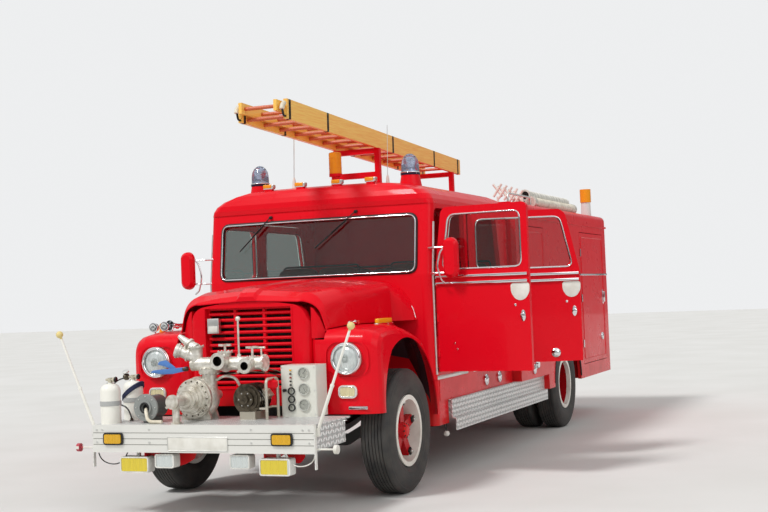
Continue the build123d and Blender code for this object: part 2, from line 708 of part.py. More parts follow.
with BuildPart() as grille_shell:
    with BuildSketch(station(540)):
        with BuildLine():
            Polyline((-WING_IN, 760), (WING_IN, 760), (WING_IN, 1400), (498, 1486))
            ThreePointArc((498, 1486), (452, 1534), (385, 1556))
            ThreePointArc((385, 1556), (0, 1588), (-385, 1556))
            ThreePointArc((-385, 1556), (-452, 1534), (-498, 1486))
            Polyline((-498, 1486), (-WING_IN, 1400), (-WING_IN, 760))
        make_face()
        # feet on the frame's front extension
        for hand in (-1, 1):
            with Locations((hand * RAIL_Y, 720)):
                Rectangle(RAIL_W, 80)
        with Locations((0, (GRILLE_LOW + GRILLE_TOP) / 2)):
            Rectangle(2 * GRILLE_HALF, GRILLE_TOP - GRILLE_LOW, mode=Mode.SUBTRACT)
    extrude(amount=NOSE_X - 540)
    # its outer edges turn back towards the wings
    with BuildSketch(level(700)):
        for hand in (-1, 1):
            with BuildLine():
                ThreePointArc((NOSE_X, hand * 470), (NOSE_X - 16, hand * 514), (560, hand * WING_IN))
                Line((560, hand * WING_IN), (560, hand * (WING_IN + 10)))
                Polyline((560, hand * (WING_IN + 10)), (NOSE_X + 5, hand * (WING_IN + 10)),
                         (NOSE_X + 5, hand * 470), (NOSE_X, hand * 470))
            make_face()
    extrude(amount=1000, mode=Mode.SUBTRACT)
    # flat inner panel, a little proud round the opening
    with BuildSketch(station(NOSE_X)):
        with Locations((0, (GRILLE_LOW + GRILLE_TOP) / 2)):
            Rectangle(2 * GRILLE_HALF + 24, GRILLE_TOP - GRILLE_LOW + 16)
            Rectangle(2 * GRILLE_HALF, GRILLE_TOP - GRILLE_LOW, mode=Mode.SUBTRACT)
    extrude(amount=5)
grille_shell.part.label = "grille_shell"
export_step(grille_shell.part, "parts/grille_shell.step")

with BuildPart() as grille_bars:
    with BuildSketch(station(552)):
        with Locations((0, (GRILLE_LOW + GRILLE_TOP) / 2)):
            Rectangle(2 * GRILLE_HALF, GRILLE_TOP - GRILLE_LOW)
            Rectangle(2 * GRILLE_HALF - 40, GRILLE_TOP - GRILLE_LOW - 30, mode=Mode.SUBTRACT)
    extrude(amount=24)
    # twelve bars with a rounded face
    with BuildSketch(side(GRILLE_HALF - 18)):
        for k in range(12):
            z = 944 + 50 * k
            with BuildLine():
                Line((560, z - 13), (580, z - 13))
                ThreePointArc((580, z - 13), (594, z), (580, z + 13))
                Line((580, z + 13), (560, z + 13))
                Line((560, z + 13), (560, z - 13))
            make_face()
    extrude(amount=2 * GRILLE_HALF - 36)
    with BuildSketch(station(556)):
        for y in (-130, 130):
            with Locations((y, (GRILLE_LOW + GRILLE_TOP) / 2)):
                Rectangle(22, GRILLE_TOP - GRILLE_LOW - 28)
    extrude(amount=34)
grille_bars.part.label = "grille_bars"
export_step(grille_bars.part, "parts/grille_bars.step")

# bonnet sections: length, foot height and half width, hip half width and height, knuckle
# half width and height, shoulder half width and height, crown height
BONNET = (
    (632, 1338, 640, 592, 1424, 522, 1508, 395, 1562, 1598),
    (600, 1340, 650, 608, 1444, 546, 1540, 406, 1600, 1636),
    (520, 1354, 664, 640, 1490, 592, 1588, 432, 1644, 1672),
    (250, 1372, 708, 694, 1532, 652, 1630, 520, 1676, 1704),
    (BONNET_REAR, 1373, 796, 786, 1600, 764, 1668, 690, 1707, 1752),
)
with BuildPart() as bonnet:
    for skin, mode in ((0, Mode.ADD), (9, Mode.SUBTRACT)):
        for x, low, foot, hip, hip_z, knuckle, knuckle_z, shoulder, shoulder_z, crown in BONNET:
            if skin:
                low -= 2
                x += 1 if x > 0 else -1
            with BuildSketch(station(x)):
                with BuildLine():
                    Polyline((-hip + skin, hip_z), (-foot + skin, low), (foot - skin, low),
                             (hip - skin, hip_z))
                    ThreePointArc((hip - skin, hip_z), (knuckle - 0.8 * skin, knuckle_z - 0.7 * skin),
                                  (shoulder, shoulder_z - skin))
                    ThreePointArc((shoulder, shoulder_z - skin), (0, crown - skin),
                                  (-shoulder, shoulder_z - skin))
                    ThreePointArc((-shoulder, shoulder_z - skin),
                                  (-knuckle + 0.8 * skin, knuckle_z - 0.7 * skin), (-hip + skin, hip_z))
                make_face()
        loft(ruled=True, mode=mode)
    # raised centre: length, foot height, half width, top height and half width
    for x, low, half, high, top in ((634, 1590, 96, 1626, 62), (600, 1626, 100, 1660, 66),
                                    (520, 1662, 104, 1692, 70), (250, 1696, 110, 1720, 76),
                                    (BONNET_REAR, 1744, 118, 1762, 84)):
        with BuildSketch(station(x)):
            with BuildLine():
                Polyline((-half, low), (half, low), (top, high), (-top, high), close=True)
            make_face()
    loft(ruled=True)
    # in plan the lip sweeps back on both sides
    with BuildSketch(level(1300)):
        with BuildLine():
            Line((545, -670), (612, -440))
            ThreePointArc((612, -440), (636, 0), (612, 440))
            Polyline((612, 440), (545, 670), (700, 670), (700, -670), (545, -670))
        make_face()
    extrude(amount=400, mode=Mode.SUBTRACT)
bonnet.part.label = "bonnet"
export_step(bonnet.part, "parts/bonnet.step")

# lamps under the board: width, height, half width, half height
FOG_LAMPS = ((-585, 395, 125, 60), (600, 390, 125, 62), (-320, 425, 82, 52), (315, 425, 82, 52))
AMBER_Y = (-745, 680)
AMBER_Z = 592
PARK_Z = 865
with BuildPart() as lamp_housings:
    for hand in (-1, 1):
        with BuildSketch(side(hand * LAMP_Y)):
            with BuildLine():
                Polyline((NOSE_X - 14, LAMP_Z), (NOSE_X - 14, LAMP_Z + 125), (NOSE_X + 14, LAMP_Z + 125),
                         (NOSE_X + 32, LAMP_Z + 110), (NOSE_X + 32, LAMP_Z + 102),
                         (NOSE_X, LAMP_Z + 102), (NOSE_X, LAMP_Z), close=True)
            make_face()
        revolve(axis=Axis(at(0, hand * LAMP_Y, LAMP_Z), (1, 0, 0)))
        # frame of the parking lamp under the headlamp
        with BuildSketch(station(NOSE_X)):
            with Locations((hand * LAMP_Y, PARK_Z)):
                RectangleRounded(154, 100, 38)
                RectangleRounded(130, 76, 28, mode=Mode.SUBTRACT)
        extrude(amount=16)
    for y, z, half, tall in FOG_LAMPS:
        with BuildSketch(station(1320)):
            with Locations((y, z)):
                RectangleRounded(2 * half, 2 * tall, 18)
        extrude(amount=92)
        with BuildSketch(station(1400)):
            with Locations((y, z)):
                RectangleRounded(2 * half - 20, 2 * tall - 20, 12)
        extrude(amount=12, mode=Mode.SUBTRACT)
        with Locations(at(1340, y, z + tall)):
            Box(24, 24, DECK_TOP - 12 - z - tall, align=LOW)
    # surrounds of the lamps on the board
    with BuildSketch(station(DECK_FRONT)):
        for y in AMBER_Y:
            with Locations((y, AMBER_Z)):
                RectangleRounded(172, 92, 22)
                RectangleRounded(148, 70, 14, mode=Mode.SUBTRACT)
    extrude(amount=16)
lamp_housings.part.label = "lamp_housings"
export_step(lamp_housings.part, "parts/lamp_housings.step")

with BuildPart() as lamp_lenses:
    for hand in (-1, 1):
        with BuildSketch(side(hand * LAMP_Y)):
            with BuildLine():
                Polyline((NOSE_X, LAMP_Z), (NOSE_X, LAMP_Z + 101), (NOSE_X + 20, LAMP_Z + 101),
                         (NOSE_X + 34, LAMP_Z + 74), (NOSE_X + 43, LAMP_Z + 38),
                         (NOSE_X + 46, LAMP_Z), close=True)
            make_face()
        revolve(axis=Axis(at(0, hand * LAMP_Y, LAMP_Z), (1, 0, 0)))
        with BuildSketch(station(NOSE_X)):
            with Locations((hand * LAMP_Y, PARK_Z)):
                RectangleRounded(129, 75, 27)
        extrude(amount=13)
    for y, z, half, tall in FOG_LAMPS:
        with BuildSketch(station(1400)):
            with Locations((y, z)):
                RectangleRounded(2 * half - 21, 2 * tall - 21, 11)
        extrude(amount=8)
    with BuildSketch(station(DECK_FRONT)):
        for y in AMBER_Y:
            with Locations((y, AMBER_Z)):
                RectangleRounded(147, 69, 13)
    extrude(amount=22)
lamp_lenses.part.label = "lamp_lenses"
export_step(lamp_lenses.part, "parts/lamp_lenses.step")

# Cowl and cab
# cowl sections: length, half width at the foot, hip height, knuckle, shoulder, crown height
COWL = (
    (BONNET_REAR - 6, 792, 1596, 760, 1664, 692, 1702, 1748),
    (-560, 866, 1530, 806, 1632, 706, 1700, 1756),
    (-640, 934, 1440, 862, 1576, 738, 1690, 1766),
    (CAB_FRONT - 90, 972, 1400, 890, 1548, 750, 1684, 1776),
)
with BuildPart() as cowl:
    for x, foot, hip_z, knuckle, knuckle_z, shoulder, shoulder_z, crown in COWL:
        with BuildSketch(station(x)):
            with BuildLine():
                Polyline((-foot + 10, hip_z), (-foot, BONNET_LOW), (foot, BONNET_LOW),
                         (foot - 10, hip_z))
                ThreePointArc((foot - 10, hip_z), (knuckle, knuckle_z), (shoulder, shoulder_z))
                ThreePointArc((shoulder, shoulder_z), (0, crown), (-shoulder, shoulder_z))
                ThreePointArc((-shoulder, shoulder_z), (-knuckle, knuckle_z), (-foot + 10, hip_z))
            make_face()
    loft(ruled=True)
    with Locations(at(-520, 0, 1330)):
        Box(120, 1400, 340, align=LOW, mode=Mode.SUBTRACT)
    # firewall between the wings
    with Locations(at(-600, 0, 900)):
        Box(20, 1060, BONNET_LOW - 880, align=LOW)
    extrude(cab_plan.sketch, amount=1500, mode=Mode.SUBTRACT)
cowl.part.label = "cowl"
export_step(cowl.part, "parts/cowl.step")

# doors: hinge line's length, door length, how far the top front corner leans back
# along the windscreen pillar, how far the top rear corner leans forward
FRONT_DOOR = (-746, 862, 78, 0)
CREW_DOOR = (-1690, 1022, 0, 122)


def door_outline(length, front_lean, rear_lean, grow):
    """Closed outline of a door, drawn out by grow: x from its hinge, y up."""
    # length, height and radius of each corner, the leaning sides' corners where there are any
    corners = [(4 - grow, DOOR_LOW - grow, 12), (length + grow, DOOR_LOW - grow, 12)]
    if rear_lean:
        corners.append((length + grow, WAIST - 20, 90))
    corners.append((length - rear_lean + grow, DOOR_TOP + grow, 90 if rear_lean else 40))
    corners.append((4 + front_lean - grow, DOOR_TOP + grow, 70 if front_lean else 40))
    if front_lean:
        corners.append((4 - grow, WAIST - 20, 60))
    FilletPolyline(*[(x, z) for x, z, radius in corners],
                   radius=[radius + grow for x, z, radius in corners], close=True)


# cab plans: height, how far the front leans back there
PLAN = ((CAB_LOW, 0), (WAIST - 20, 0), (EAVE, 85))


with BuildPart() as cab_body:
    for wall, mode in ((0, Mode.ADD), (CAB_WALL, Mode.SUBTRACT)):
        for (low, lean_low), (high, lean_high) in zip(PLAN, PLAN[1:]):
            for z, lean in ((low, lean_low), (high, lean_high)):
                if wall and z == CAB_LOW:
                    z = CAB_LOW + 50
                if wall and z == EAVE:
                    z = EAVE + 1
                with BuildSketch(level(z)):
                    with BuildLine():
                        cab_outline(lean, wall, wall)
                    make_face()
            loft(ruled=True, mode=mode)
    # skirts below the doors, and the cab's mounts on the rails
    for hand in (-1, 1):
        with BuildSketch(side(hand * (CAB_HALF - 20) + 20)):
            with BuildLine():
                Polyline((CAB_FRONT - 150, BOARD_TOP), (CAB_FRONT - 150, CAB_LOW + 4),
                         (CAB_REAR, CAB_LOW + 4), (CAB_REAR, BOARD_TOP), close=True)
            make_face()
        extrude(amount=40)
        # rounded box at the skirt's front end, down to the running board's lower edge
        with BuildSketch(level(455)):
            with BuildLine():
                FilletPolyline((-1000, hand * 905), (-716, hand * 905), (-716, hand * (CAB_HALF - 4)),
                               (-1000, hand * (CAB_HALF - 4)), radius=(0, 20, 60, 0), close=True)
            make_face()
        extrude(amount=CAB_LOW + 4 - 455)
        for x in (-900, -1800, -2800):
            with Locations(at(x, hand * RAIL_Y, RAIL_TOP)):
                Box(120, RAIL_W, CAB_LOW - RAIL_TOP, align=LOW)
    # windscreen, door and quarter openings
    with BuildSketch(station(-1000)):
        with Locations(GLASS_CENTRE):
            RectangleRounded(*GLASS_SIZE, GLASS_R)
    extrude(amount=500, mode=Mode.SUBTRACT)
    for hinge_x, length, front_lean, rear_lean in (FRONT_DOOR, CREW_DOOR):
        with BuildSketch(door_plane(hinge_x, CAB_HALF + 10, 0)):
            with BuildLine():
                door_outline(length, front_lean, rear_lean, DOOR_GAP)
            make_face()
        extrude(amount=-200, mode=Mode.SUBTRACT)
    # the right half mirrors the left
    split(bisect_by=side(0), keep=Keep.BOTTOM)
    mirror(about=side(0))
cab_body.part.label = "cab_body"
export_step(cab_body.part, "parts/cab_body.step")

# roof sections: height, inset of the plan, how far the brow is drawn forward, rear inset
ROOF = (
    (EAVE, -2, 8, 0), (2420, 8, 28, 0), (2465, 34, 52, 0), (2510, 88, 90, 10),
    (2550, 180, 160, 40), (2580, 300, 250, 110), (ROOF_TOP, 480, 350, 260),
)
ROOF_INSIDE = ((EAVE - 1, CAB_WALL, 0, CAB_WALL), (2440, 62, 0, 50), (2490, 150, 60, 70),
               (2540, 380, 180, 180))
with BuildPart() as cab_roof:
    for sections, mode in ((ROOF, Mode.ADD), (ROOF_INSIDE, Mode.SUBTRACT)):
        for z, inset, nose, rear_inset in sections:
            with BuildSketch(level(z)):
                with BuildLine():
                    cab_outline(PLAN[-1][1], inset, rear_inset, nose)
                make_face()
        loft(ruled=True, mode=mode)
    # the brow's four marker lamps stand on small feet
    for y in (-510, -190, 175, 501):
        with Locations(at(-840, y, 2560)):
            Box(50, 70, 44, align=LOW)
cab_roof.part.label = "cab_roof"
export_step(cab_roof.part, "parts/cab_roof.step")

# the glass follows the bowed front wall, in the middle of its thickness
with BuildPart() as windscreen:
    for inset, mode in ((16, Mode.ADD), (22, Mode.SUBTRACT)):
        for z, lean in PLAN[1:]:
            with BuildSketch(level(z)):
                with BuildLine():
                    cab_outline(lean, inset, 0)
                make_face()
        loft(ruled=True, mode=mode)
    with BuildSketch(station(-1000)):
        with Locations(GLASS_CENTRE):
            RectangleRounded(*GLASS_SIZE, GLASS_R)
    extrude(amount=500, mode=Mode.INTERSECT)
windscreen.part.label = "windscreen"
export_step(windscreen.part, "parts/windscreen.step")

# name, side, opening angle as parked, the door's sizes
DOORS = (
    ("front_door_left", 1, 95, FRONT_DOOR),
    ("front_door_right", -1, 0, FRONT_DOOR),
    ("crew_door_left", 1, 70, CREW_DOOR),
    ("crew_door_right", -1, 0, CREW_DOOR),
)
for name, hand, angle, (hinge_x, length, front_lean, rear_lean) in DOORS:
    leaf = door_plane(hinge_x, CAB_HALF + 6, angle)
    with BuildPart() as door:
        with BuildSketch(leaf.offset(-6)):
            with BuildLine():
                door_outline(length, front_lean, rear_lean, 0)
            make_face()
            # window
            with BuildLine():
                FilletPolyline((80, 1798), (length - 66, 1798), (length - 0.85 * rear_lean - 66, 2258),
                               (80 + 0.9 * front_lean, 2258), radius=WINDOW_R, close=True)
            make_face(mode=Mode.SUBTRACT)
        extrude(amount=-DOOR_T + 6)
        # inner panel recess, handle and the two bright rails under the window
        with BuildSketch(leaf.offset(-DOOR_T)):
            with BuildLine():
                Polyline((80, 990), (length - 80, 990), (length - 80, 1690), (80, 1690), close=True)
            make_face()
        extrude(amount=12, mode=Mode.SUBTRACT)
        with BuildSketch(leaf.offset(-6)):
            for z in (1672, 1730):
                with Locations(((length + 4) / 2, z)):
                    Rectangle(length - 16, 20)
            # round push handle
            with Locations((length - 62, 1380)):
                Circle(20)
        extrude(amount=14)
        # hinge knuckles on the front edge
        for z in (1080, 1380, 1680):
            with Locations(leaf.from_local_coords(Vector(16, z, -6))):
                Cylinder(10, 70)
        if hand < 0:
            mirror(about=side(0), mode=Mode.REPLACE)
    door.part.label = name
    export_step(door.part, f"parts/{name}.step")

# Inside the cab
DASH_HALF = 985.0
# steering wheel's plane: its normal points up the column to the driver
COLUMN = Plane(origin=at(-1085, 560, 1690), x_dir=(0, 1, 0), z_dir=(-0.55, 0, 0.83))
with BuildPart() as seats:
    # length of the front edge, width of the middle, width, cushion top, back top
    for x, y, wide, top, back in ((-1120, 560, 560, 1330, 1900), (-1120, -430, 860, 1330, 1900),
                                  (-2290, 0, 1900, 1330, 1900)):
        with BuildSketch(side(y + wide / 2)):
            with BuildLine():
                Polyline((x, top - 150), (x, top), (x - 400, top - 30), (x - 490, back),
                         (x - 590, back), (x - 520, top - 150), close=True)
            make_face()
        extrude(amount=wide)
        with Locations(at(x - 270, y, CAB_LOW + 50)):
            Box(420, wide - 60, top - 150 - CAB_LOW - 50, align=LOW)
seats.part.label = "seats"
export_step(seats.part, "parts/seats.step")

with BuildPart() as dashboard:
    with BuildSketch(side(DASH_HALF)):
        with BuildLine():
            Polyline((-640, 1745), (-640, 1480), (-900, 1440), (-1010, 1500), (-1010, 1620),
                     (-930, 1745), close=True)
        make_face()
    extrude(amount=2 * DASH_HALF)
    # it follows the inside of the bowed front wall
    with BuildSketch(level(1400)):
        with BuildLine():
            cab_outline(0, CAB_WALL, CAB_WALL)
        make_face()
    extrude(amount=400, mode=Mode.INTERSECT)
    # bore for the steering column
    with BuildSketch(COLUMN.offset(-160)):
        Circle(20 + RUN_GAP)
    extrude(amount=200, mode=Mode.SUBTRACT)
dashboard.part.label = "dashboard"
export_step(dashboard.part, "parts/dashboard.step")

with BuildPart() as steering_wheel:
    # hub, column, rim and three spokes
    with BuildSketch(COLUMN):
        Circle(45)
    extrude(amount=20)
    with BuildSketch(COLUMN.offset(-14)):
        Circle(20)
    extrude(amount=-125)
    with BuildSketch(Plane(origin=COLUMN.origin + COLUMN.x_dir * 230, x_dir=COLUMN.z_dir,
                           z_dir=COLUMN.y_dir)):
        RegularPolygon(15, 8)
    revolve(axis=Axis(COLUMN.origin, COLUMN.z_dir))
    with BuildSketch(COLUMN.offset(-14)):
        with PolarLocations(125, 3, start_angle=90):
            Rectangle(230, 26)
        Circle(50)
    extrude(amount=16)
steering_wheel.part.label = "steering_wheel"
export_step(steering_wheel.part, "parts/steering_wheel.step")

with BuildPart() as mirrors:
    for hand in (-1, 1):
        # tall shell with rounded ends and a domed front
        with BuildSketch(station(-668)):
            with Locations((hand * 1286, 1890)):
                SlotOverall(350, 138, rotation=90)
        with BuildSketch(station(-636)):
            with Locations((hand * 1286, 1890)):
                SlotOverall(340, 128, rotation=90)
        with BuildSketch(station(-612)):
            with Locations((hand * 1286, 1890)):
                SlotOverall(290, 82, rotation=90)
        loft(ruled=True)
        # bent arm from the pillar to the shell's back, and its foot plate
        for z in (1765, 1985):
            with BuildLine() as arm:
                FilletPolyline(at(-735, hand * 1050, z), at(-690, hand * 1126, z),
                               at(-682, hand * 1286, z), radius=30)
            with BuildSketch(Plane(origin=arm.wires()[0] @ 0, z_dir=arm.wires()[0] % 0)):
                RegularPolygon(10, 8)
            sweep(path=arm.wires()[0])
            with Locations(at(-675, hand * 1286, z)):
                Cylinder(14, 24, rotation=(0, 90, 0))
    add(cab_body.part, mode=Mode.SUBTRACT)
mirrors.part.label = "mirrors"
export_step(mirrors.part, "parts/mirrors.step")

with BuildPart() as running_boards:
    for hand in (-1, 1):
        with BuildSketch(station(BOARD_REAR)):
            with BuildLine():
                Polyline((hand * 900, BOARD_TOP), (hand * 1120, BOARD_TOP), (hand * 1120, 500),
                         (hand * 1155, 500), (hand * 1155, 390), (hand * 1147, 390),
                         (hand * 1147, 492), (hand * 1112, 492), (hand * 1112, BOARD_TOP - 8),
                         (hand * 900, BOARD_TOP - 8), close=True)
            make_face()
        extrude(amount=-1004 - BOARD_REAR)
        for x in (-1040, -2000, -3000, -3950):
            with Locations(at(x, hand * 1010, 540)):
                Box(40, 208, BOARD_TOP - 540, align=LOW)
running_boards.part.label = "running_boards"
export_step(running_boards.part, "parts/running_boards.step")

# Rear body
# locker openings: name, front edge, length, low edge, high edge
LOCKERS = (("front_locker", -3090, 960, 940, 2260), ("rear_locker", -5680, 1250, 660, 2260))
with BuildPart() as rear_body:
    with BuildSketch(station(BODY_REAR)):
        with BuildLine():
            Polyline((BODY_HALF, BODY_LOW), (BODY_HALF, BODY_TOP - 70))
            ThreePointArc((BODY_HALF, BODY_TOP - 70), (BODY_HALF - 20, BODY_TOP - 20),
                          (BODY_HALF - 70, BODY_TOP))
            Line((BODY_HALF - 70, BODY_TOP), (-BODY_HALF + 70, BODY_TOP))
            ThreePointArc((-BODY_HALF + 70, BODY_TOP), (-BODY_HALF + 20, BODY_TOP - 20),
                          (-BODY_HALF, BODY_TOP - 70))
            Polyline((-BODY_HALF, BODY_TOP - 70), (-BODY_HALF, BODY_LOW), (BODY_HALF, BODY_LOW))
        make_face()
    extrude(amount=BODY_FRONT - BODY_REAR)
    middle = (BODY_FRONT + BODY_REAR) / 2
    with Locations(at(middle, 0, BODY_FLOOR + 40)):
        Box(BODY_FRONT - BODY_REAR - 2 * BODY_WALL, 2 * (BODY_HALF - BODY_WALL),
            BODY_TOP - BODY_FLOOR - 80, align=LOW, mode=Mode.SUBTRACT)
    with Locations(at(middle, 0, BODY_LOW - 1)):
        Box(BODY_FRONT - BODY_REAR + 2, 1160, BODY_FLOOR - BODY_LOW + 1, align=LOW,
            mode=Mode.SUBTRACT)
    # lower lockers on each side, open to the space above: front edge, length, floor;
    # between them the wheel housing is open below
    for hand in (-1, 1):
        for x, long, floor in ((-3025, 1075, 700), (-5650, 1410, 540)):
            with Locations(at(x - long / 2, hand * 880, floor)):
                Box(long, 520, BODY_FLOOR - floor + 40, align=LOW, mode=Mode.SUBTRACT)
        with Locations(at(-4875, hand * 860, BODY_LOW - 1)):
            Box(1470, 560, BODY_FLOOR - BODY_LOW + 1, align=LOW, mode=Mode.SUBTRACT)
    with Locations(at((BODY_FRONT + BOARD_REAR) / 2, 0, BODY_LOW - 1)):
        Box(BODY_FRONT - BOARD_REAR, 2 * BODY_HALF + 2, BOARD_TOP - BODY_LOW + 1, align=LOW,
            mode=Mode.SUBTRACT)
    with BuildSketch(side(BODY_HALF + 5)):
        with Locations((-WHEELBASE, TYRE_R)):
            Circle(ARCH_R)
    extrude(amount=2 * BODY_HALF + 10, mode=Mode.SUBTRACT)
    for name, x, long, low, high in LOCKERS:
        with Locations(at(x - long / 2, 0, (low + high) / 2)):
            Box(long, 2 * BODY_HALF + 20, high - low, mode=Mode.SUBTRACT)
    with Locations(at(BODY_REAR, 0, 1700)):
        Box(2 * BODY_WALL + 20, 1500, 1100, mode=Mode.SUBTRACT)
    with Locations(at(-4740, 0, BODY_FLOOR + 38)):
        Box(60, 2 * BODY_HALF - 60, BODY_TOP - BODY_FLOOR - 70, align=LOW)
    # drip rail along both sides
    for hand in (-1, 1):
        with Locations(at(middle, hand * (BODY_HALF + 8), 2352)):
            Box(BODY_FRONT - BODY_REAR, 24, 22)
    # bearers between the body's floor and the rails
    for hand in (-1, 1):
        with Locations(at((BODY_FRONT + FRAME_REAR) / 2, hand * RAIL_Y, RAIL_TOP)):
            Box(BODY_FRONT - FRAME_REAR - 60, 60, 120, align=LOW)
    for x in (-3200, -4100, -5000, -5900, -6800):
        with Locations(at(x, 0, RAIL_TOP + 110)):
            Box(100, 1100, BODY_FLOOR - RAIL_TOP - 100, align=LOW)
rear_body.part.label = "rear_body"
export_step(rear_body.part, "parts/rear_body.step")

for name, x, long, low, high in LOCKERS:
    for word, hand in (("left", 1), ("right", -1)):
        with BuildPart() as locker_door:
            with BuildSketch(side(BODY_HALF)):
                with Locations((x - long / 2, (low + high) / 2)):
                    Rectangle(long - 16, high - low - 16)
            extrude(amount=BODY_WALL - 4)
            with Locations(at(x - long + 90, BODY_HALF + 10, 1460)):
                Box(34, 22, 130)
            if hand < 0:
                mirror(about=side(0), mode=Mode.REPLACE)
        locker_door.part.label = f"{name}_door_{word}"
        export_step(locker_door.part, f"parts/{name}_door_{word}.step")

with BuildPart() as rear_door:
    with Locations(at(BODY_REAR + 18, 0, 1700)):
        Box(36, 1484, 1084)
    with Locations(at(BODY_REAR - 10, 0, 1230)):
        Box(22, 160, 34)
rear_door.part.label = "rear_door"
export_step(rear_door.part, "parts/rear_door.step")

with BuildPart() as rear_step:
    with Locations(at(BODY_REAR - 95, 0, 470)):
        Box(190, 1900, 30, align=LOW)
    # hole for a drawbar's pin
    with Locations(at(BODY_REAR - 140, 0, 485)):
        Cylinder(HITCH_R, 40, mode=Mode.SUBTRACT)
    # arms from the rails' ends
    for hand in (-1, 1):
        with BuildSketch(side(hand * RAIL_Y + 30)):
            with BuildLine():
                Polyline((-6850, RAIL_LOW), (FRAME_REAR, RAIL_LOW), (-7010, 500), (-7280, 500),
                         (-7280, 470), (-6990, 470), (-6850, 560), close=True)
            make_face()
        extrude(amount=60)
rear_step.part.label = "rear_step"
export_step(rear_step.part, "parts/rear_step.step")

# Roof: gantry, ladder, hoses and beacons
# the ladder's own plane: x forward along it, y to the left, z up, at its underside
tilt = radians(2.1)
ladder_base = Plane(origin=at(-1720, 0, 3005), x_dir=(cos(tilt), 0, sin(tilt)),
                    z_dir=(-sin(tilt), 0, cos(tilt)))
with BuildPart() as ladder_gantry:
    # length, foot height, height of the ladder's underside
    for x, foot, top in ((-1720, ROOF_TOP, 3005), (-3850, BODY_TOP, 2927)):
        for hand in (-1, 1):
            with Locations(at(x, hand * 215, foot)):
                Box(50, 50, top - foot + 5, align=LOW)
        for z in (top - 280, top - 50):
            with Locations(at(x, 0, z)):
                Box(50, 430, 55, align=LOW)
        with Locations(at(x, 0, foot)):
            Box(60, 560, 40, align=LOW)
    split(bisect_by=ladder_base, keep=Keep.BOTTOM)
ladder_gantry.part.label = "ladder_gantry"
export_step(ladder_gantry.part, "parts/ladder_gantry.step")

with BuildPart() as ladder_rails:
    # lower section, then the upper one between its rails
    with BuildSketch(ladder_base):
        for hand in (-1, 1):
            with Locations((-230, hand * 210)):
                Rectangle(4360, 34)
    extrude(amount=165)
    with BuildSketch(ladder_base.offset(58)):
        for hand in (-1, 1):
            with Locations((-80, hand * 160)):
                Rectangle(4240, 28)
    extrude(amount=92)
ladder_rails.part.label = "ladder_rails"
export_step(ladder_rails.part, "parts/ladder_rails.step")

with BuildPart() as ladder_rungs:
    for low, half, first, count, length in ((35, 193, 1850, 14, 300), (104, 146, 1980, 14, 300)):
        with BuildSketch(Plane(origin=ladder_base.from_local_coords(Vector(0, -half, 0)),
                               x_dir=ladder_base.x_dir, z_dir=(0, 1, 0))):
            with Locations(*[(first - k * length, -low) for k in range(count)]):
                RegularPolygon(16, 10)
        extrude(amount=2 * half)
ladder_rungs.part.label = "ladder_rungs"
export_step(ladder_rungs.part, "parts/ladder_rungs.step")

with BuildPart() as suction_hoses:
    for y, z in ((1010, BODY_TOP + 62), (860, BODY_TOP + 62)):
        for low, high, radius in ((-6000, -4300, 55), (-4300, -4200, 62), (-6100, -6000, 62)):
            with BuildSketch(station(low)):
                with Locations((y, z)):
                    Circle(radius)
            extrude(amount=high - low)
        with BuildSketch(station(-4260)):
            with Locations((y, z)):
                Circle(42)
        extrude(amount=60, mode=Mode.SUBTRACT)
suction_hoses.part.label = "suction_hoses"
export_step(suction_hoses.part, "parts/suction_hoses.step")

with BuildPart() as beacon_bases:
    # length, width, foot height, foot radius, neck radius, height
    for x, y, z, foot, neck, tall in (
        (-1150, 760, 2550, 104, 84, 116), (-1150, -760, 2550, 104, 84, 116),
        (-1200, 0, 2585, 46, 38, 125), (-6880, 1000, BODY_TOP, 66, 60, 190),
    ):
        with Locations(at(x, y, z)):
            Cone(foot, neck, tall, align=LOW)
    # collars that hold the domes
    for x, y, z, radius, tall in ((-1150, 760, 2666, 88, 22), (-1150, -760, 2666, 88, 22),
                                  (-1200, 0, 2710, 60, 26)):
        with Locations(at(x, y, z)):
            Cylinder(radius, tall, align=LOW)
    add(cab_roof.part, mode=Mode.SUBTRACT)
beacon_bases.part.label = "beacon_bases"
export_step(beacon_bases.part, "parts/beacon_bases.step")

with BuildPart() as blue_beacons:
    for y in (-760, 760):
        with BuildSketch(side(y)):
            with BuildLine():
                Polyline((-1150, 2688), (-1068, 2688), (-1070, 2762), (-1077, 2800), (-1095, 2833),
                         (-1121, 2855), (-1150, 2862), close=True)
            make_face()
        revolve(axis=Axis(at(-1150, y, 0), (0, 0, 1)))
blue_beacons.part.label = "blue_beacons"
export_step(blue_beacons.part, "parts/blue_beacons.step")

with BuildPart() as amber_beacons:
    for x, y, z, radius, tall in ((-1200, 0, 2736, 58, 190), (-6880, 1000, BODY_TOP + 190, 70, 170)):
        with Locations(at(x, y, z)):
            Cylinder(radius, tall, align=LOW)
amber_beacons.part.label = "amber_beacons"
export_step(amber_beacons.part, "parts/amber_beacons.step")
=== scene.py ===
from math import cos, pi, radians, sin

import bmesh
import bpy
from mathutils import Matrix, Vector


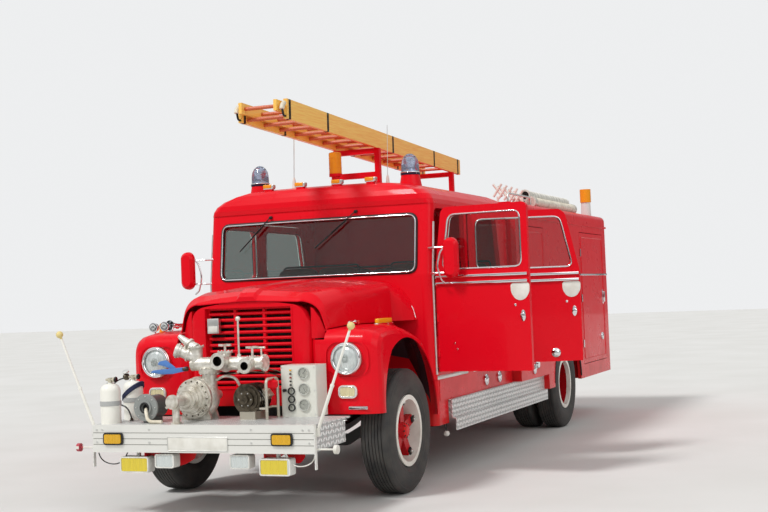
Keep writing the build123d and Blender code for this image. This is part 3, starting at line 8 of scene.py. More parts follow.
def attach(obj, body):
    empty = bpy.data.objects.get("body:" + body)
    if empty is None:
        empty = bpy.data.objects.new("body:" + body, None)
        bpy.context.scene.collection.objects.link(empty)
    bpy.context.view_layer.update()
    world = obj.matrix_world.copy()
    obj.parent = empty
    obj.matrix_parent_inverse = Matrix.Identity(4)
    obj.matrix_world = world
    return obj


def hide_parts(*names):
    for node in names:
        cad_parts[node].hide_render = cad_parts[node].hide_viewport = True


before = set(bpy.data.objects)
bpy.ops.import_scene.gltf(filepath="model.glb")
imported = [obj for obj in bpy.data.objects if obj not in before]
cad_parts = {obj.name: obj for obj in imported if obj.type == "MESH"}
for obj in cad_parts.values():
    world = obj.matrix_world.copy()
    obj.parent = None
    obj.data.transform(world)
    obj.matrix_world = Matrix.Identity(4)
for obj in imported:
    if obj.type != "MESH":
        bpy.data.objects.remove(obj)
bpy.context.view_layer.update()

bl_info = {
    "name": "Crew-cab fire engine looks",
    "version": (1, 0, 0),
    "blender": (4, 5, 0),
    "location": "3D View > Sidebar > Fire engine",
    "description": "Dresses the bonneted fire engine: paint, glass, tyres, trim and roof load",
    "category": "Object",
}

# Middle of the front axle on the floor, from which every length and width is given.
AXLE = Vector((2.920, -0.350, 0.0))
WHEELBASE = 4.900
TYRE_R = 0.500
# half widths of the cab and of the rear body, the body's rear face, the top of the cab's floor
CAB_HALF = 1.090
BODY_HALF = 1.180
BODY_REAR = -7.100
CAB_FLOOR = 0.8995
# height of the bright moulding along the rear body, and half of its width
MOULDING_Z, MOULDING_HALF = 1.745, 0.011
SIDES = (("left", 1), ("right", -1))
FORWARD, BACK, LEFT, UP, DOWN = (1, 0, 0), (-1, 0, 0), (0, 1, 0), (0, 0, 1), (0, 0, -1)
# hinge length, door length, lean of the front and rear top corners, in metres
FRONT_DOOR = (-0.746, 0.862, 0.078, 0.0)
CREW_DOOR = (-1.690, 1.022, 0.0, 0.122)
# doors: side, angle in degrees at which each one is parked, sizes
DOORS = {
    "front_door_left": (1, 95, FRONT_DOOR),
    "front_door_right": (-1, 0, FRONT_DOOR),
    "crew_door_left": (1, 70, CREW_DOOR),
    "crew_door_right": (-1, 0, CREW_DOOR),
}
# lockers: name, front edge, length, low edge, high edge
LOCKERS = (("front_locker", -3.090, 0.960, 0.940, 2.260),
           ("rear_locker", -5.680, 1.250, 0.660, 2.260))
# gauges on the box's face: width, height, outer radius of the rim, turn of the hand in degrees
GAUGES = ((0.588, 1.029, 0.046, 40), (0.588, 0.908, 0.046, 150), (0.588, 0.788, 0.046, -70),
          (0.482, 0.893, 0.029, 20), (0.482, 0.831, 0.029, 100), (0.482, 0.767, 0.029, -40))


def at(x, y, z):
    """A point given from the front axle: x forward, y to the left, z from the floor."""
    return AXLE + Vector((x, y, z))


def linear(code):
    """Linear colour of an sRGB hex code."""
    parts = [int(code[i:i + 2], 16) / 255 for i in (1, 3, 5)]
    return tuple(c / 12.92 if c <= 0.04045 else ((c + 0.055) / 1.055) ** 2.4 for c in parts)


# ---- finishes

def add_node(tree, kind, feeds=None, **settings):
    """Adds one node: settings are its own, feeds are values for its inputs, or the sockets or
    nodes that feed them. A node feeds with its first output."""
    made = tree.nodes.new(kind)
    for name, value in settings.items():
        setattr(made, name, value)
    for name, value in (feeds or {}).items():
        if isinstance(value, bpy.types.Node):
            value = value.outputs[0]
        if isinstance(value, bpy.types.NodeSocket):
            tree.links.new(value, made.inputs[name])
        else:
            made.inputs[name].default_value = value
    return made


def start_finish(name, feeds):
    """A material with one shader; gives it back with its tree, shader and coordinates."""
    made = bpy.data.materials.new(name)
    made.use_nodes = True
    tree = made.node_tree
    tree.nodes.clear()
    shader = add_node(tree, "ShaderNodeBsdfPrincipled", feeds)
    add_node(tree, "ShaderNodeOutputMaterial", {"Surface": shader.outputs[0]})
    place = add_node(tree, "ShaderNodeTexCoord").outputs["Object"]
    return made, tree, shader, place


def opened(made):
    """Tree, shader and coordinates of a finish that is there, for zones on it."""
    tree = made.node_tree
    shader = next(n for n in tree.nodes if n.type == "BSDF_PRINCIPLED")
    place = next(n for n in tree.nodes if n.type == "TEX_COORD").outputs["Object"]
    return tree, shader, place


def colour(tone):
    """Four channels of a hex code, or of a colour that is set in the panel."""
    return (*(linear(tone) if isinstance(tone, str) else tone), 1.0)


def mottle(tree, place, size, low, high, detail=3.0):
    """Cloudy pattern of a given size in metres, stretched from 0 to 1 between low and high."""
    noise = add_node(tree, "ShaderNodeTexNoise",
                     {"Vector": place, "Scale": 1 / size, "Detail": detail})
    feeds = {"Value": noise.outputs["Fac"], "From Min": low, "From Max": high}
    return add_node(tree, "ShaderNodeMapRange", feeds).outputs["Result"]


def tint(tree, share, first, second):
    """Colour that goes from the first to the second as share goes from 0 to 1."""
    feeds = {"Fac": share, "Color1": first, "Color2": second}
    return add_node(tree, "ShaderNodeMixRGB", feeds).outputs["Color"]


def shade(tree, shader, share, first, second):
    """Lets the shader's colour go from the first tone to the second with share."""
    tree.links.new(tint(tree, share, colour(first), colour(second)), shader.inputs["Base Color"])


def relief(tree, shader, height, depth):
    """Bump of a depth in metres on the shader."""
    bump = add_node(tree, "ShaderNodeBump", {"Height": height, "Distance": depth, "Strength": 1.0})
    tree.links.new(bump.outputs["Normal"], shader.inputs["Normal"])


def roughen(tree, shader, share, low, high):
    """Lets the shader's roughness go from low to high with share."""
    spread = add_node(tree, "ShaderNodeMapRange", {"Value": share, "To Min": low, "To Max": high})
    tree.links.new(spread.outputs["Result"], shader.inputs["Roughness"])


def paint_enamel(name, body, dusty):
    """Sprayed coach enamel, gloss. The eye sees a deep even colour under a clear skin,
    a faint orange peel and a little road dust low down."""
    made, tree, shader, place = start_finish(
        name, {"Coat Weight": 0.25, "Coat Roughness": 0.04, "Coat IOR": 1.32,
               "Specular IOR Level": 0.1})
    height = add_node(tree, "ShaderNodeSeparateXYZ", {0: place}).outputs[2]
    low_down = add_node(tree, "ShaderNodeMapRange",
                        {"Value": height, "From Min": 0.95, "From Max": 0.45, "To Max": 0.55})
    cloud = mottle(tree, place, 0.18, 0.35, 0.75)
    dirt = add_node(tree, "ShaderNodeMath", {0: low_down, 1: cloud}, operation="MULTIPLY")
    shade(tree, shader, dirt.outputs[0], body, dusty)
    roughen(tree, shader, cloud, 0.26, 0.38)
    relief(tree, shader, mottle(tree, place, 0.005, 0.3, 0.7, 1.0), 0.00010)
    return made


def cast_metal(name, bright, dark, rough=0.42, metallic=1.0):
    """Sand-cast metal, machined only on its faces: a pebbled skin with darker hollows."""
    made, tree, shader, place = start_finish(name, {"Metallic": metallic})
    cloud = mottle(tree, place, 0.045, 0.4, 0.7)
    shade(tree, shader, cloud, bright, dark)
    roughen(tree, shader, cloud, rough - 0.08, rough + 0.12)
    relief(tree, shader, mottle(tree, place, 0.0035, 0.3, 0.7, 2.0), 0.0006)
    return made


def polished_metal(name, tone, rough):
    """Plated or polished metal: a mirror with faint smears."""
    made, tree, shader, place = start_finish(name, {"Metallic": 1.0, "Base Color": colour(tone)})
    roughen(tree, shader, mottle(tree, place, 0.06, 0.35, 0.7), rough, rough + 0.12)
    return made


def plain_skin(name, first, second, grain, depth, rough):
    """Moulded or painted matt skin: two close tones over a fine grain."""
    made, tree, shader, place = start_finish(name, {})
    cloud = mottle(tree, place, 0.08, 0.35, 0.7)
    shade(tree, shader, cloud, first, second)
    roughen(tree, shader, cloud, rough - 0.05, rough + 0.08)
    relief(tree, shader, mottle(tree, place, grain, 0.3, 0.7, 2.0), depth)
    return made


def chequer_plate(name):
    """Rolled aluminium tread plate: raised lozenges at 42 mm, each set across the next,
    painted bright on their tops as a painted highlight, with a greyer field between them as painted
    shade."""
    pitch, squeeze = 0.042, (1.65, 3.9, 0.0)
    made, tree, shader, place = start_finish(name, {"Metallic": 0.35})
    x, y, z = add_node(tree, "ShaderNodeSeparateXYZ", {0: place}).outputs
    across = add_node(tree, "ShaderNodeMath", {0: y, 1: z})
    flat = add_node(tree, "ShaderNodeCombineXYZ", {0: x, 1: across, 2: 0.0})
    cells = add_node(tree, "ShaderNodeVectorMath", {0: flat, "Scale": 1 / pitch},
                     operation="SCALE")
    # place within a cell, from its middle, and whether the cell is an odd one
    part = add_node(tree, "ShaderNodeVectorMath", {0: cells}, operation="FRACTION")
    part = add_node(tree, "ShaderNodeVectorMath", {0: part, 1: (0.5, 0.5, 0.0)},
                    operation="SUBTRACT")
    whole = add_node(tree, "ShaderNodeVectorMath", {0: cells}, operation="FLOOR")
    column, row, _ = add_node(tree, "ShaderNodeSeparateXYZ", {0: whole}).outputs
    index = add_node(tree, "ShaderNodeMath", {0: column, 1: row})
    odd = add_node(tree, "ShaderNodeMath", {0: index, 1: 2.0}, operation="FLOORED_MODULO")
    reaches = []
    for turn in (45, -45):
        spun = add_node(tree, "ShaderNodeVectorRotate", {"Vector": part, "Angle": radians(turn)},
                        rotation_type="Z_AXIS")
        long = add_node(tree, "ShaderNodeVectorMath", {0: spun, 1: squeeze}, operation="MULTIPLY")
        reach = add_node(tree, "ShaderNodeVectorMath", {0: long}, operation="LENGTH")
        reaches.append(reach.outputs["Value"])
    reach = add_node(tree, "ShaderNodeMix", {0: odd, 2: reaches[0], 3: reaches[1]})
    bar = add_node(tree, "ShaderNodeMapRange",
                   {"Value": reach, "From Min": 1.0, "From Max": 0.65}).outputs["Result"]
    # painted highlight on the lozenges, near-white, and painted shade on the greyer field between
    # them
    shade(tree, shader, bar, "#B7B8B6", "#FFFFFD")
    roughen(tree, shader, bar, 0.46, 0.24)
    relief(tree, shader, bar, 0.0022)
    return made


def clear_glass(name, tone, rough=0.0, weight=1.0):
    """Float or pressed glass: clear, with its colour at the edges."""
    made, tree, shader, place = start_finish(
        name, {"Base Color": colour(tone), "Transmission Weight": weight, "IOR": 1.5})
    roughen(tree, shader, mottle(tree, place, 0.12, 0.3, 0.7), rough, rough + 0.02)
    return made


def pressed_glass(name, tone):
    """Pressed lamp glass before its reflector: silvery, with upright flutes. They are drawn
    at 50 mm, coarser than real ones, so that they show."""
    pitch = 0.050245
    made, tree, shader, place = start_finish(
        name, {"Base Color": colour(tone), "Metallic": 0.25, "Transmission Weight": 0.2,
               "IOR": 1.5, "Coat Weight": 0.6, "Coat Roughness": 0.03})
    # a wave runs 20 radians to the unit
    flutes = add_node(tree, "ShaderNodeTexWave", {"Vector": place, "Scale": 2 * pi / 20 / pitch},
                      bands_direction="Y").outputs["Fac"]
    roughen(tree, shader, flutes, 0.12, 0.3)
    relief(tree, shader, flutes, 0.0012)
    return made


def varnished_wood(name, pale, deep):
    """Varnished ash, planed: long pale grain along the rail under a warm clear skin."""
    made, tree, shader, place = start_finish(name, {"Coat Weight": 0.5, "Coat Roughness": 0.12})
    along = add_node(tree, "ShaderNodeMapping", {"Vector": place, "Scale": (0.6, 14.0, 14.0)})
    grain = mottle(tree, along.outputs["Vector"], 0.11, 0.3, 0.7, 6.0)
    shade(tree, shader, grain, pale, deep)
    roughen(tree, shader, grain, 0.35, 0.5)
    relief(tree, shader, grain, 0.0003)
    return made


def tyre_rubber(name):
    """Moulded natural rubber: dull near-black, greyed by dust on the wall."""
    made, tree, shader, place = start_finish(name, {})
    cloud = mottle(tree, place, 0.09, 0.3, 0.75)
    shade(tree, shader, cloud, "#2F2E2E", "#4C4945")
    roughen(tree, shader, cloud, 0.62, 0.85)
    relief(tree, shader, mottle(tree, place, 0.004, 0.3, 0.7, 2.0), 0.0004)
    return made


# ---- zones of a finish: each mask is a function of the tree and the coordinates

def within(low, high):
    """Mask: 1 inside a box between two corners given from the front axle, else 0."""
    low, high = at(*low), at(*high)

    def mask(tree, place):
        off = add_node(tree, "ShaderNodeVectorMath", {0: place, 1: (low + high) / 2},
                       operation="SUBTRACT")
        away = add_node(tree, "ShaderNodeVectorMath", {0: off}, operation="ABSOLUTE")
        room = add_node(tree, "ShaderNodeVectorMath", {0: (high - low) / 2, 1: away},
                        operation="SUBTRACT")
        x, y, z = add_node(tree, "ShaderNodeSeparateXYZ", {0: room}).outputs
        least = add_node(tree, "ShaderNodeMath", {0: x, 1: y}, operation="MINIMUM")
        least = add_node(tree, "ShaderNodeMath", {0: least, 1: z}, operation="MINIMUM")
        found = add_node(tree, "ShaderNodeMath", {0: least, 1: 0.0}, operation="GREATER_THAN")
        return found.outputs[0]
    return mask


def near(point, along, radius):
    """Mask: 1 nearer than a radius to an axis through a point given from the front axle;
    along is 0, 1 or 2 for an axis along x, y or z."""
    point, flat = at(*point), [float(i != along) for i in range(3)]

    def mask(tree, place):
        off = add_node(tree, "ShaderNodeVectorMath", {0: place, 1: point}, operation="SUBTRACT")
        off = add_node(tree, "ShaderNodeVectorMath", {0: off, 1: flat}, operation="MULTIPLY")
        away = add_node(tree, "ShaderNodeVectorMath", {0: off}, operation="LENGTH")
        found = add_node(tree, "ShaderNodeMath", {0: away.outputs["Value"], 1: radius},
                         operation="LESS_THAN")
        return found.outputs[0]
    return mask


def both(first, second):
    """Mask: where both masks hold."""
    def mask(tree, place):
        feeds = {0: first(tree, place), 1: second(tree, place)}
        return add_node(tree, "ShaderNodeMath", feeds, operation="MULTIPLY").outputs[0]
    return mask


def bore(mouth, radius, depth):
    """Mask: inside a hole that runs back from its mouth along the engine."""
    x, y, z = mouth
    length = within((x - depth, y - radius, z - radius), (x, y + radius, z + radius))
    return both(length, near(mouth, 0, radius))


def recolour(made, *zones):
    """Paints zones of a finish another colour: pairs of a mask and a colour code."""
    tree, shader, place = opened(made)
    socket = shader.inputs["Base Color"]
    tone = socket.links[0].from_socket if socket.is_linked else tuple(socket.default_value)
    for mask, code in zones:
        tone = tint(tree, mask(tree, place), tone, colour(code))
    tree.links.new(tone, socket)
    return made


def plate_zone(made, mask):
    """Turns a zone of a finish to bare metal: the mask drives the metallic share."""
    tree, shader, place = opened(made)
    tree.links.new(mask(tree, place), shader.inputs["Metallic"])
    return made


def smooth_zone(made, mask, code):
    """Takes the tread off a zone of tread plate: plain drawn metal of one colour there."""
    tree, shader, place = opened(made)
    bump = next(n for n in tree.nodes if n.type == "BUMP")
    left = add_node(tree, "ShaderNodeMath", {0: 1.0, 1: mask(tree, place)}, operation="SUBTRACT")
    tree.links.new(left.outputs[0], bump.inputs["Strength"])
    worn = shader.inputs["Roughness"].links[0].from_socket
    even = add_node(tree, "ShaderNodeMix", {0: left, 2: 0.36, 3: worn})
    tree.links.new(even.outputs[0], shader.inputs["Roughness"])
    return recolour(made, (mask, code))


FINISHES = {}


def make_finishes():
    """All materials, once, by the names that pieces ask for."""
    tones = bpy.context.scene.engine_colours
    red, white, dust, film = tones.body_red, tones.white_enamel, "#8A4A38", "#A9A192"
    wheel_flanks = within((-5.3, -1.085, 0.1), (-4.5, 1.085, 0.9))
    headlamp_shells = within((0.55, -1.00, 0.97), (0.70, 1.00, 1.27))
    mirror_shells = within((-0.76, -1.4, 1.7), (-0.6685, 1.4, 2.1))
    board_front = within((1.390, -0.95, 0.36), (1.45, 0.95, 0.70))
    # painted shade: three darker grey lines where the board's grooves run
    board_grooves = [(within((1.390, -0.93, z - 0.0025), (1.45, 0.93, z + 0.0025)), "#96958F")
                     for z in (0.548, 0.592, 0.636)]
    beacon_feet = [(within((-1.30, y - 0.15, 2.665), (-1.0, y + 0.15, 2.75)), "#23243A")
                   for y in (-0.76, 0.76)]
    FINISHES.update({
        "red": paint_enamel("red_coach_enamel", red, dust),
        "white": paint_enamel("white_stoved_enamel", white, film),
        "blue_grip": paint_enamel("blue_lever_enamel", "#5780BE", "#6D859F"),
        "cast": cast_metal("cast_aluminium", "#E6E2D8", "#B9B1A2", 0.4, 0.6),
        "bronze": cast_metal("cast_gunmetal", "#6E6557", "#3A342D"),
        "iron": cast_metal("cast_iron", "#3A3937", "#211F1D", 0.6, 0.6),
        "board": polished_metal("drawn_aluminium_section", "#DDDDD9", 0.3),
        "chrome": polished_metal("chromium_plate", "#E6E7E9", 0.04),
        "mirror": polished_metal("silvered_mirror", "#F2F4F5", 0.0),
        "tread": chequer_plate("aluminium_tread_plate"),
        "glass": clear_glass("toughened_glass", "#EAF4F0"),
        "amber": clear_glass("amber_moulded_lens", "#FFBE20", 0.1, 0.2),
        "orange": clear_glass("orange_moulded_lens", "#FFA51E", 0.1, 0.15),
        "lens": clear_glass("clear_pressed_glass", "#F4F6F4", 0.03),
        "blue": clear_glass("blue_moulded_dome", "#B9C4DE", 0.05, 0.85),
        "ruby": clear_glass("red_moulded_lens", "#B0101A", 0.1, 0.6),
        "wood": varnished_wood("varnished_ash", "#FFD266", "#F6B34A"),
        "rungs": varnished_wood("stained_ash", "#D96A34", "#B44A22"),
        "tyre": tyre_rubber("moulded_tyre_rubber"),
        "front_wheel": recolour(paint_enamel("wheel_enamel", white, film),
                                (near((0, 0, TYRE_R), 1, 0.243), "#B80E18")),
        "rear_wheel": recolour(paint_enamel("rear_wheel_enamel", white, film),
                               (both(near((-WHEELBASE, 1.085, TYRE_R), 1, 0.262), wheel_flanks),
                                "#A30F18")),
        # wings: painted shade, dark maroon under the wings and inside the wheel arches
        "wing": recolour(paint_enamel("wing_enamel", red, dust),
                         (within((-0.75, -1.04, 0.40), (0.50, 1.04, 1.31)), "#43262B")),
        "pole": recolour(paint_enamel("pole_enamel", white, film),
                         (within((1.35, -1.30, 1.355), (1.45, 1.30, 1.43)), "#E3CF8E"),
                         (within((1.37, -1.12, 0.48), (1.42, -1.05, 0.56)), "#B8505A")),
        "shell": plate_zone(recolour(
            plain_skin("lamp_shells", "#E4E3DC", "#C9C8C2", 0.006, 0.0002, 0.3),
            (within((1.42, -0.90, 0.53), (1.47, 0.90, 0.66)), "#1B1B1C")), headlamp_shells),
        "lamps": recolour(pressed_glass("pressed_lamp_glass", "#DDE4E2"),
                          (within((1.35, -0.70, 0.30), (1.45, -0.47, 0.48)), "#F0D83C"),
                          (within((1.35, 0.47, 0.30), (1.45, 0.70, 0.48)), "#F0D83C"),
                          (within((1.40, -0.90, 0.53), (1.47, 0.90, 0.66)), "#EFB60A"),
                          (within((0.55, -1.00, 0.80), (0.70, 1.00, 0.93)), "#E9DDAE")),
        # deck plate: a plain board front, with painted shade in its grooves
        "deck": recolour(smooth_zone(chequer_plate("aluminium_deck_plate"), board_front,
                                     "#EAE9E3"), *board_grooves),
        "manifold": recolour(
            cast_metal("manifold_castings", "#EAE7DF", "#BDB6A8", 0.38, 0.65),
            # painted shade: the two outlets' bores are near-black inside
            (bore((1.1285, 0.0, 1.145), 0.0395, 0.075), "#26231F"),
            (bore((1.1385, 0.235, 1.106), 0.0335, 0.075), "#26231F")),
        "primer": recolour(cast_metal("primer_castings", "#6E6557", "#3A342D"),
                           (within((0.80, 0.315, 0.60), (1.20, 0.46, 1.05)), "#DAD4C6"),
                           (within((0.80, 0.02, 0.60), (1.20, 0.46, 0.755)), "#CFC8B8")),
        # hose drum: painted shade, its body dark grey and only its front disc lighter grey, with
        # dust low down
        "drum": recolour(paint_enamel("drum_enamel", "#4B4D4C", "#6E6B64"),
                         (within((1.268, -0.67, 0.69), (1.32, -0.43, 0.93)), "#8F928F")),
        "panel": recolour(paint_enamel("gauge_box_enamel", "#DCDCD2", film),
                          (within((0.851, 0.449, 0.73), (0.87, 0.515, 0.93)), "#2B2C2C"),
                          (within((0.851, 0.415, 0.88), (0.87, 0.445, 0.92)), "#1C1C1C"),
                          (within((0.851, 0.53, 0.73), (0.87, 0.65, 1.08)), "#BDBEB6")),
        "bottle": recolour(paint_enamel("gas_bottle_enamel", white, film),
                           (within((0.80, -1.0, 1.002), (1.45, -0.7, 1.06)), "#BFB9A6"),
                           (within((0.80, -1.0, 0.832), (1.45, -0.7, 0.868)), "#AFB0AE")),
        "base": recolour(paint_enamel("beacon_base_enamel", red, dust), *beacon_feet,
                         (within((-7.0, 0.9, 2.50), (-6.8, 1.1, 2.70)), "#D9DAD6")),
        "mirror_arms": plate_zone(recolour(paint_enamel("mirror_enamel", red, dust),
                                           (mirror_shells, "#E6E7E9")), mirror_shells),
    })
    # matt skins: name, material, two tones, grain and depth in metres, roughness
    for name, *skin in (
            ("black", "black_chassis_paint", "#151516", "#24221F", 0.004, 0.0003, 0.5),
            ("seal", "black_sealing_rubber", "#111112", "#1C1B1A", 0.003, 0.0002, 0.55),
            ("hose", "pale_hose_rubber", "#DAD7CE", "#B4B0A6", 0.005, 0.0005, 0.6),
            ("leather", "brown_leathercloth", "#4A2E20", "#38221A", 0.003, 0.0004, 0.45),
            ("ebonite", "black_moulded_rim", "#101011", "#17171A", 0.02, 0.0001, 0.25),
            ("tin", "blank_plate_enamel", "#E9E7DF", "#DAD7CD", 0.01, 0.0001, 0.35),
            ("face", "printed_dial_card", "#F1EFE6", "#E7E4D8", 0.01, 0.0001, 0.5),
            ("webbing", "navy_webbing", "#2A3152", "#1D2340", 0.002, 0.0004, 0.8),
            ("hide", "stretched_leathercloth", "#40302A", "#2E221D", 0.004, 0.0005, 0.5),
            ("mat", "ribbed_floor_rubber", "#2B2A29", "#3A3835", 0.006, 0.0008, 0.8),
            ("cream", "aged_hose_lining", "#E7DFCC", "#CFC5AE", 0.006, 0.0004, 0.6)):
        FINISHES[name] = plain_skin(*skin)


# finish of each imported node
NODE_FINISHES = {
    "red": ("grille_shell", "grille_bars", "bonnet", "cowl", "cab_body", "cab_roof", "dashboard",
            "rear_body", "rear_door", "ladder_gantry", *DOORS,
            *(f"{name}_door_{word}" for name, *_ in LOCKERS for word, _ in SIDES)),
    "black": ("chassis_frame", "leaf_springs", "front_axle", "rear_axle", "driveshaft",
              "fuel_tank", "knuckle_left", "knuckle_right", "rear_step"),
    "iron": ("engine", "exhaust"),
    "deck": ("front_platform",),
    "tread": ("running_boards",),
    "wing": ("wings",),
    "cast": ("pump_casing",),
    "manifold": ("pump_manifold",),
    "primer": ("priming_unit",),
    "panel": ("gauge_box",),
    "drum": ("hose_drum",),
    "bottle": ("gas_cylinders",),
    "pole": ("marker_poles",),
    "shell": ("lamp_housings",),
    "lamps": ("lamp_lenses",),
    "glass": ("windscreen",),
    "leather": ("seats",),
    "ebonite": ("steering_wheel",),
    "wood": ("ladder_rails",),
    "rungs": ("ladder_rungs",),
    "hose": ("suction_hoses",),
    "mirror_arms": ("mirrors",),
    "base": ("beacon_bases",),
    "blue": ("blue_beacons",),
    "orange": ("amber_beacons",),
    "front_wheel": ("wheel_front_left", "wheel_front_right"),
    "rear_wheel": ("wheel_rear_left", "wheel_rear_right"),
    "tyre": ("tyre_front_left", "tyre_front_right", "tyre_rear_left", "tyre_rear_right"),
}


# ---- shaping

def begin(add, name, **where):
    """Adds a primitive at its size and place, and opens it for editing, all selected."""
    bpy.ops.object.select_all(action="DESELECT")
    add(**where)
    piece = bpy.context.object
    piece.name = piece.data.name = name
    bpy.ops.object.transform_apply(location=True, rotation=True, scale=True)
    bpy.ops.object.mode_set(mode="EDIT")
    bpy.ops.mesh.select_all(action="SELECT")
    return piece


def settle(piece, finish, body="chassis", stand=None, angle=35, slot=None):
    """Ends the editing: places, smooths and dresses the piece, and lets it ride."""
    if bpy.context.object.mode == "EDIT":
        bpy.ops.object.mode_set(mode="OBJECT")
    if stand is not None:
        piece.matrix_world = stand
        bpy.ops.object.transform_apply(location=True, rotation=True, scale=True)
        if stand.determinant() < 0:
            bpy.ops.object.mode_set(mode="EDIT")
            bpy.ops.mesh.select_all(action="SELECT")
            bpy.ops.mesh.normals_make_consistent(inside=False)
            bpy.ops.object.mode_set(mode="OBJECT")
    bpy.ops.object.shade_smooth_by_angle(angle=radians(angle))
    piece.data.materials.clear()
    piece.data.materials.append(FINISHES[finish])
    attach(piece, body)
    return piece


def placed(points, stand=None):
    """Points as vectors: on a stand's plane as they are, else from the front axle."""
    return [at(*p) if stand is None else Vector(p) for p in points]


def box(name, low, high, stand):
    """A cube between two opposite corners, open for editing."""
    low, high = (Vector(c) for c in zip(*map(sorted, zip(*placed((low, high), stand)))))
    return begin(bpy.ops.mesh.primitive_cube_add, name, size=1, location=(low + high) / 2,
                 scale=high - low)


def block(name, low, high, bevel, finish, body="chassis", stand=None, steps=2):
    """A plate or bar between two opposite corners, with its edges rounded."""
    piece = box(name, low, high, stand)
    bpy.ops.mesh.bevel(offset=bevel, segments=steps, affect="EDGES")
    return settle(piece, finish, body, stand)


def turned(name, foot, way, steps, finish, sides=24, body="chassis", stand=None, angle=35):
    """A turned piece: steps are (distance along its axis, radius) from its foot."""
    (foot,), way = placed([foot], stand), Vector(way).normalized()
    first, radius = steps[0]
    piece = begin(bpy.ops.mesh.primitive_circle_add, name, vertices=sides, radius=radius,
                  fill_type="NGON", location=foot + way * first,
                  rotation=way.to_track_quat("Z", "Y").to_euler())
    bpy.ops.mesh.flip_normals()
    for (start, last), (end, radius) in zip(steps, steps[1:]):
        bpy.ops.mesh.extrude_region_move(TRANSFORM_OT_translate={"value": way * (end - start)})
        bpy.ops.transform.resize(value=(radius / last,) * 3)
    bpy.ops.mesh.select_all(action="SELECT")
    bpy.ops.mesh.normals_make_consistent(inside=False)
    return settle(piece, finish, body, stand, angle)


def drawn(name, kind, path, radius, sides):
    """A curve of round section, and its one line of points."""
    bpy.ops.object.select_all(action="DESELECT")
    line = bpy.data.curves.new(name, "CURVE")
    line.dimensions = "3D"
    line.bevel_depth = radius
    line.bevel_resolution = sides
    line.use_fill_caps = True
    spline = line.splines.new(kind)
    spline.points.add(len(path) - 1)
    for point, place in zip(spline.points, path):
        point.co = (*place, 1.0)
    piece = bpy.data.objects.new(name, line)
    bpy.context.scene.collection.objects.link(piece)
    return piece, spline


def rod(name, points, radius, finish, closed=False, soft=0.0, sides=3, body="chassis", stand=None):
    """A bar or moulding of round section along points; soft rounds its corners."""
    path = placed(points, stand)
    path = rounded(path, soft, closed) if soft else path
    piece, spline = drawn(name, "POLY", path, radius, sides)
    spline.use_cyclic_u = closed
    bpy.context.view_layer.objects.active = piece
    piece.select_set(True)
    bpy.ops.object.convert(target="MESH")
    return settle(bpy.context.object, finish, body, stand, 50)


def cord(name, points, diameter, finish):
    """A cord along one smooth curve over its points, from the first to the last."""
    points = placed(points)
    piece, spline = drawn(name, "NURBS", points, diameter / 2, 3)
    spline.order_u = 3
    spline.use_endpoint_u = True
    spline.resolution_u = 12
    piece.data.materials.append(FINISHES[finish])
    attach(piece, "chassis")
    tuple(points[0])


def rounded(points, radius, closed, steps=4):
    """The same path with each corner turned over an arc of about the radius."""
    count, path = len(points), []
    for i, corner in enumerate(points):
        if not closed and i in (0, count - 1):
            path.append(corner)
            continue
        before, after = points[i - 1] - corner, points[(i + 1) % count] - corner
        reach = min(radius, before.length / 2.2, after.length / 2.2)
        first = corner + before.normalized() * reach
        last = corner + after.normalized() * reach
        for k in range(steps + 1):
            t = k / steps
            path.append(first.lerp(corner, t).lerp(corner.lerp(last, t), t))
    return path


def flat_loop(corners, radius, steps=5):
    """Corners of a closed flat outline, rounded, as pairs."""
    return [(p.x, p.y) for p in rounded([Vector((x, y, 0)) for x, y in corners], radius, True,
                                        steps)]


def oblong(left, low, right, high, radius, steps=5):
    """Outline of a rectangle with rounded corners, as pairs."""
    return flat_loop(((left, low), (right, low), (right, high), (left, high)), radius, steps)


def oval(x, y, half_x, half_y, sides=28):
    """Outline of an oval, as pairs."""
    turns = [2 * pi * k / sides for k in range(sides)]
    return [(x + half_x * cos(t), y + half_y * sin(t)) for t in turns]


def on_face(x, outline):
    """Points of a flat outline on an upright plane across the engine."""
    return [(x, y, z) for y, z in outline]


def stand_at(origin, along, up, out=None):
    """Matrix of a plane given by its origin and its axes; out only where it is mirrored."""
    along, up = Vector(along).normalized(), Vector(up).normalized()
    out = Vector(out) if out else along.cross(up)
    stand = Matrix((along, up, out)).transposed().to_4x4()
    stand.translation = at(*origin)
    return stand


def facing(x):
    """Plane across the engine that faces forward: its x to the left, its y up."""
    return stand_at((x, 0, 0), LEFT, UP)


def beside(y):
    """Plane along the engine: its x forward, its y up."""
    return stand_at((0, y, 0), FORWARD, UP)


def door_stand(name):
    """Matrix of a door's outer face: x from the hinge, y up, z outwards, as parked."""
    hand, angle, (hinge_x, _, _, _) = DOORS[name]
    turn = radians(angle)
    return stand_at((hinge_x, hand * (CAB_HALF + 0.006), 0), (-cos(turn), hand * sin(turn), 0), UP,
                    (sin(turn), hand * cos(turn), 0))


def plate(name, outline, low, high, bevel, finish, body="chassis", stand=None, slot=None):
    """A flat plate of a closed outline between two heights of its plane, edges rounded."""
    piece = begin(bpy.ops.mesh.primitive_plane_add, name, size=1)
    mesh = bmesh.from_edit_mesh(piece.data)
    bmesh.ops.delete(mesh, geom=mesh.verts[:], context="VERTS")
    mesh.faces.new([mesh.verts.new((x, y, low)) for x, y in outline])
    bmesh.update_edit_mesh(piece.data)
    bpy.ops.mesh.select_all(action="SELECT")
    bpy.ops.mesh.extrude_region_move(TRANSFORM_OT_translate={"value": (0, 0, high - low)})
    bpy.ops.mesh.select_all(action="SELECT")
    bpy.ops.mesh.normals_make_consistent(inside=False)
    if bevel:
        bpy.ops.mesh.bevel(offset=bevel, segments=2, affect="EDGES")
    return settle(piece, finish, body, stand, slot=slot)


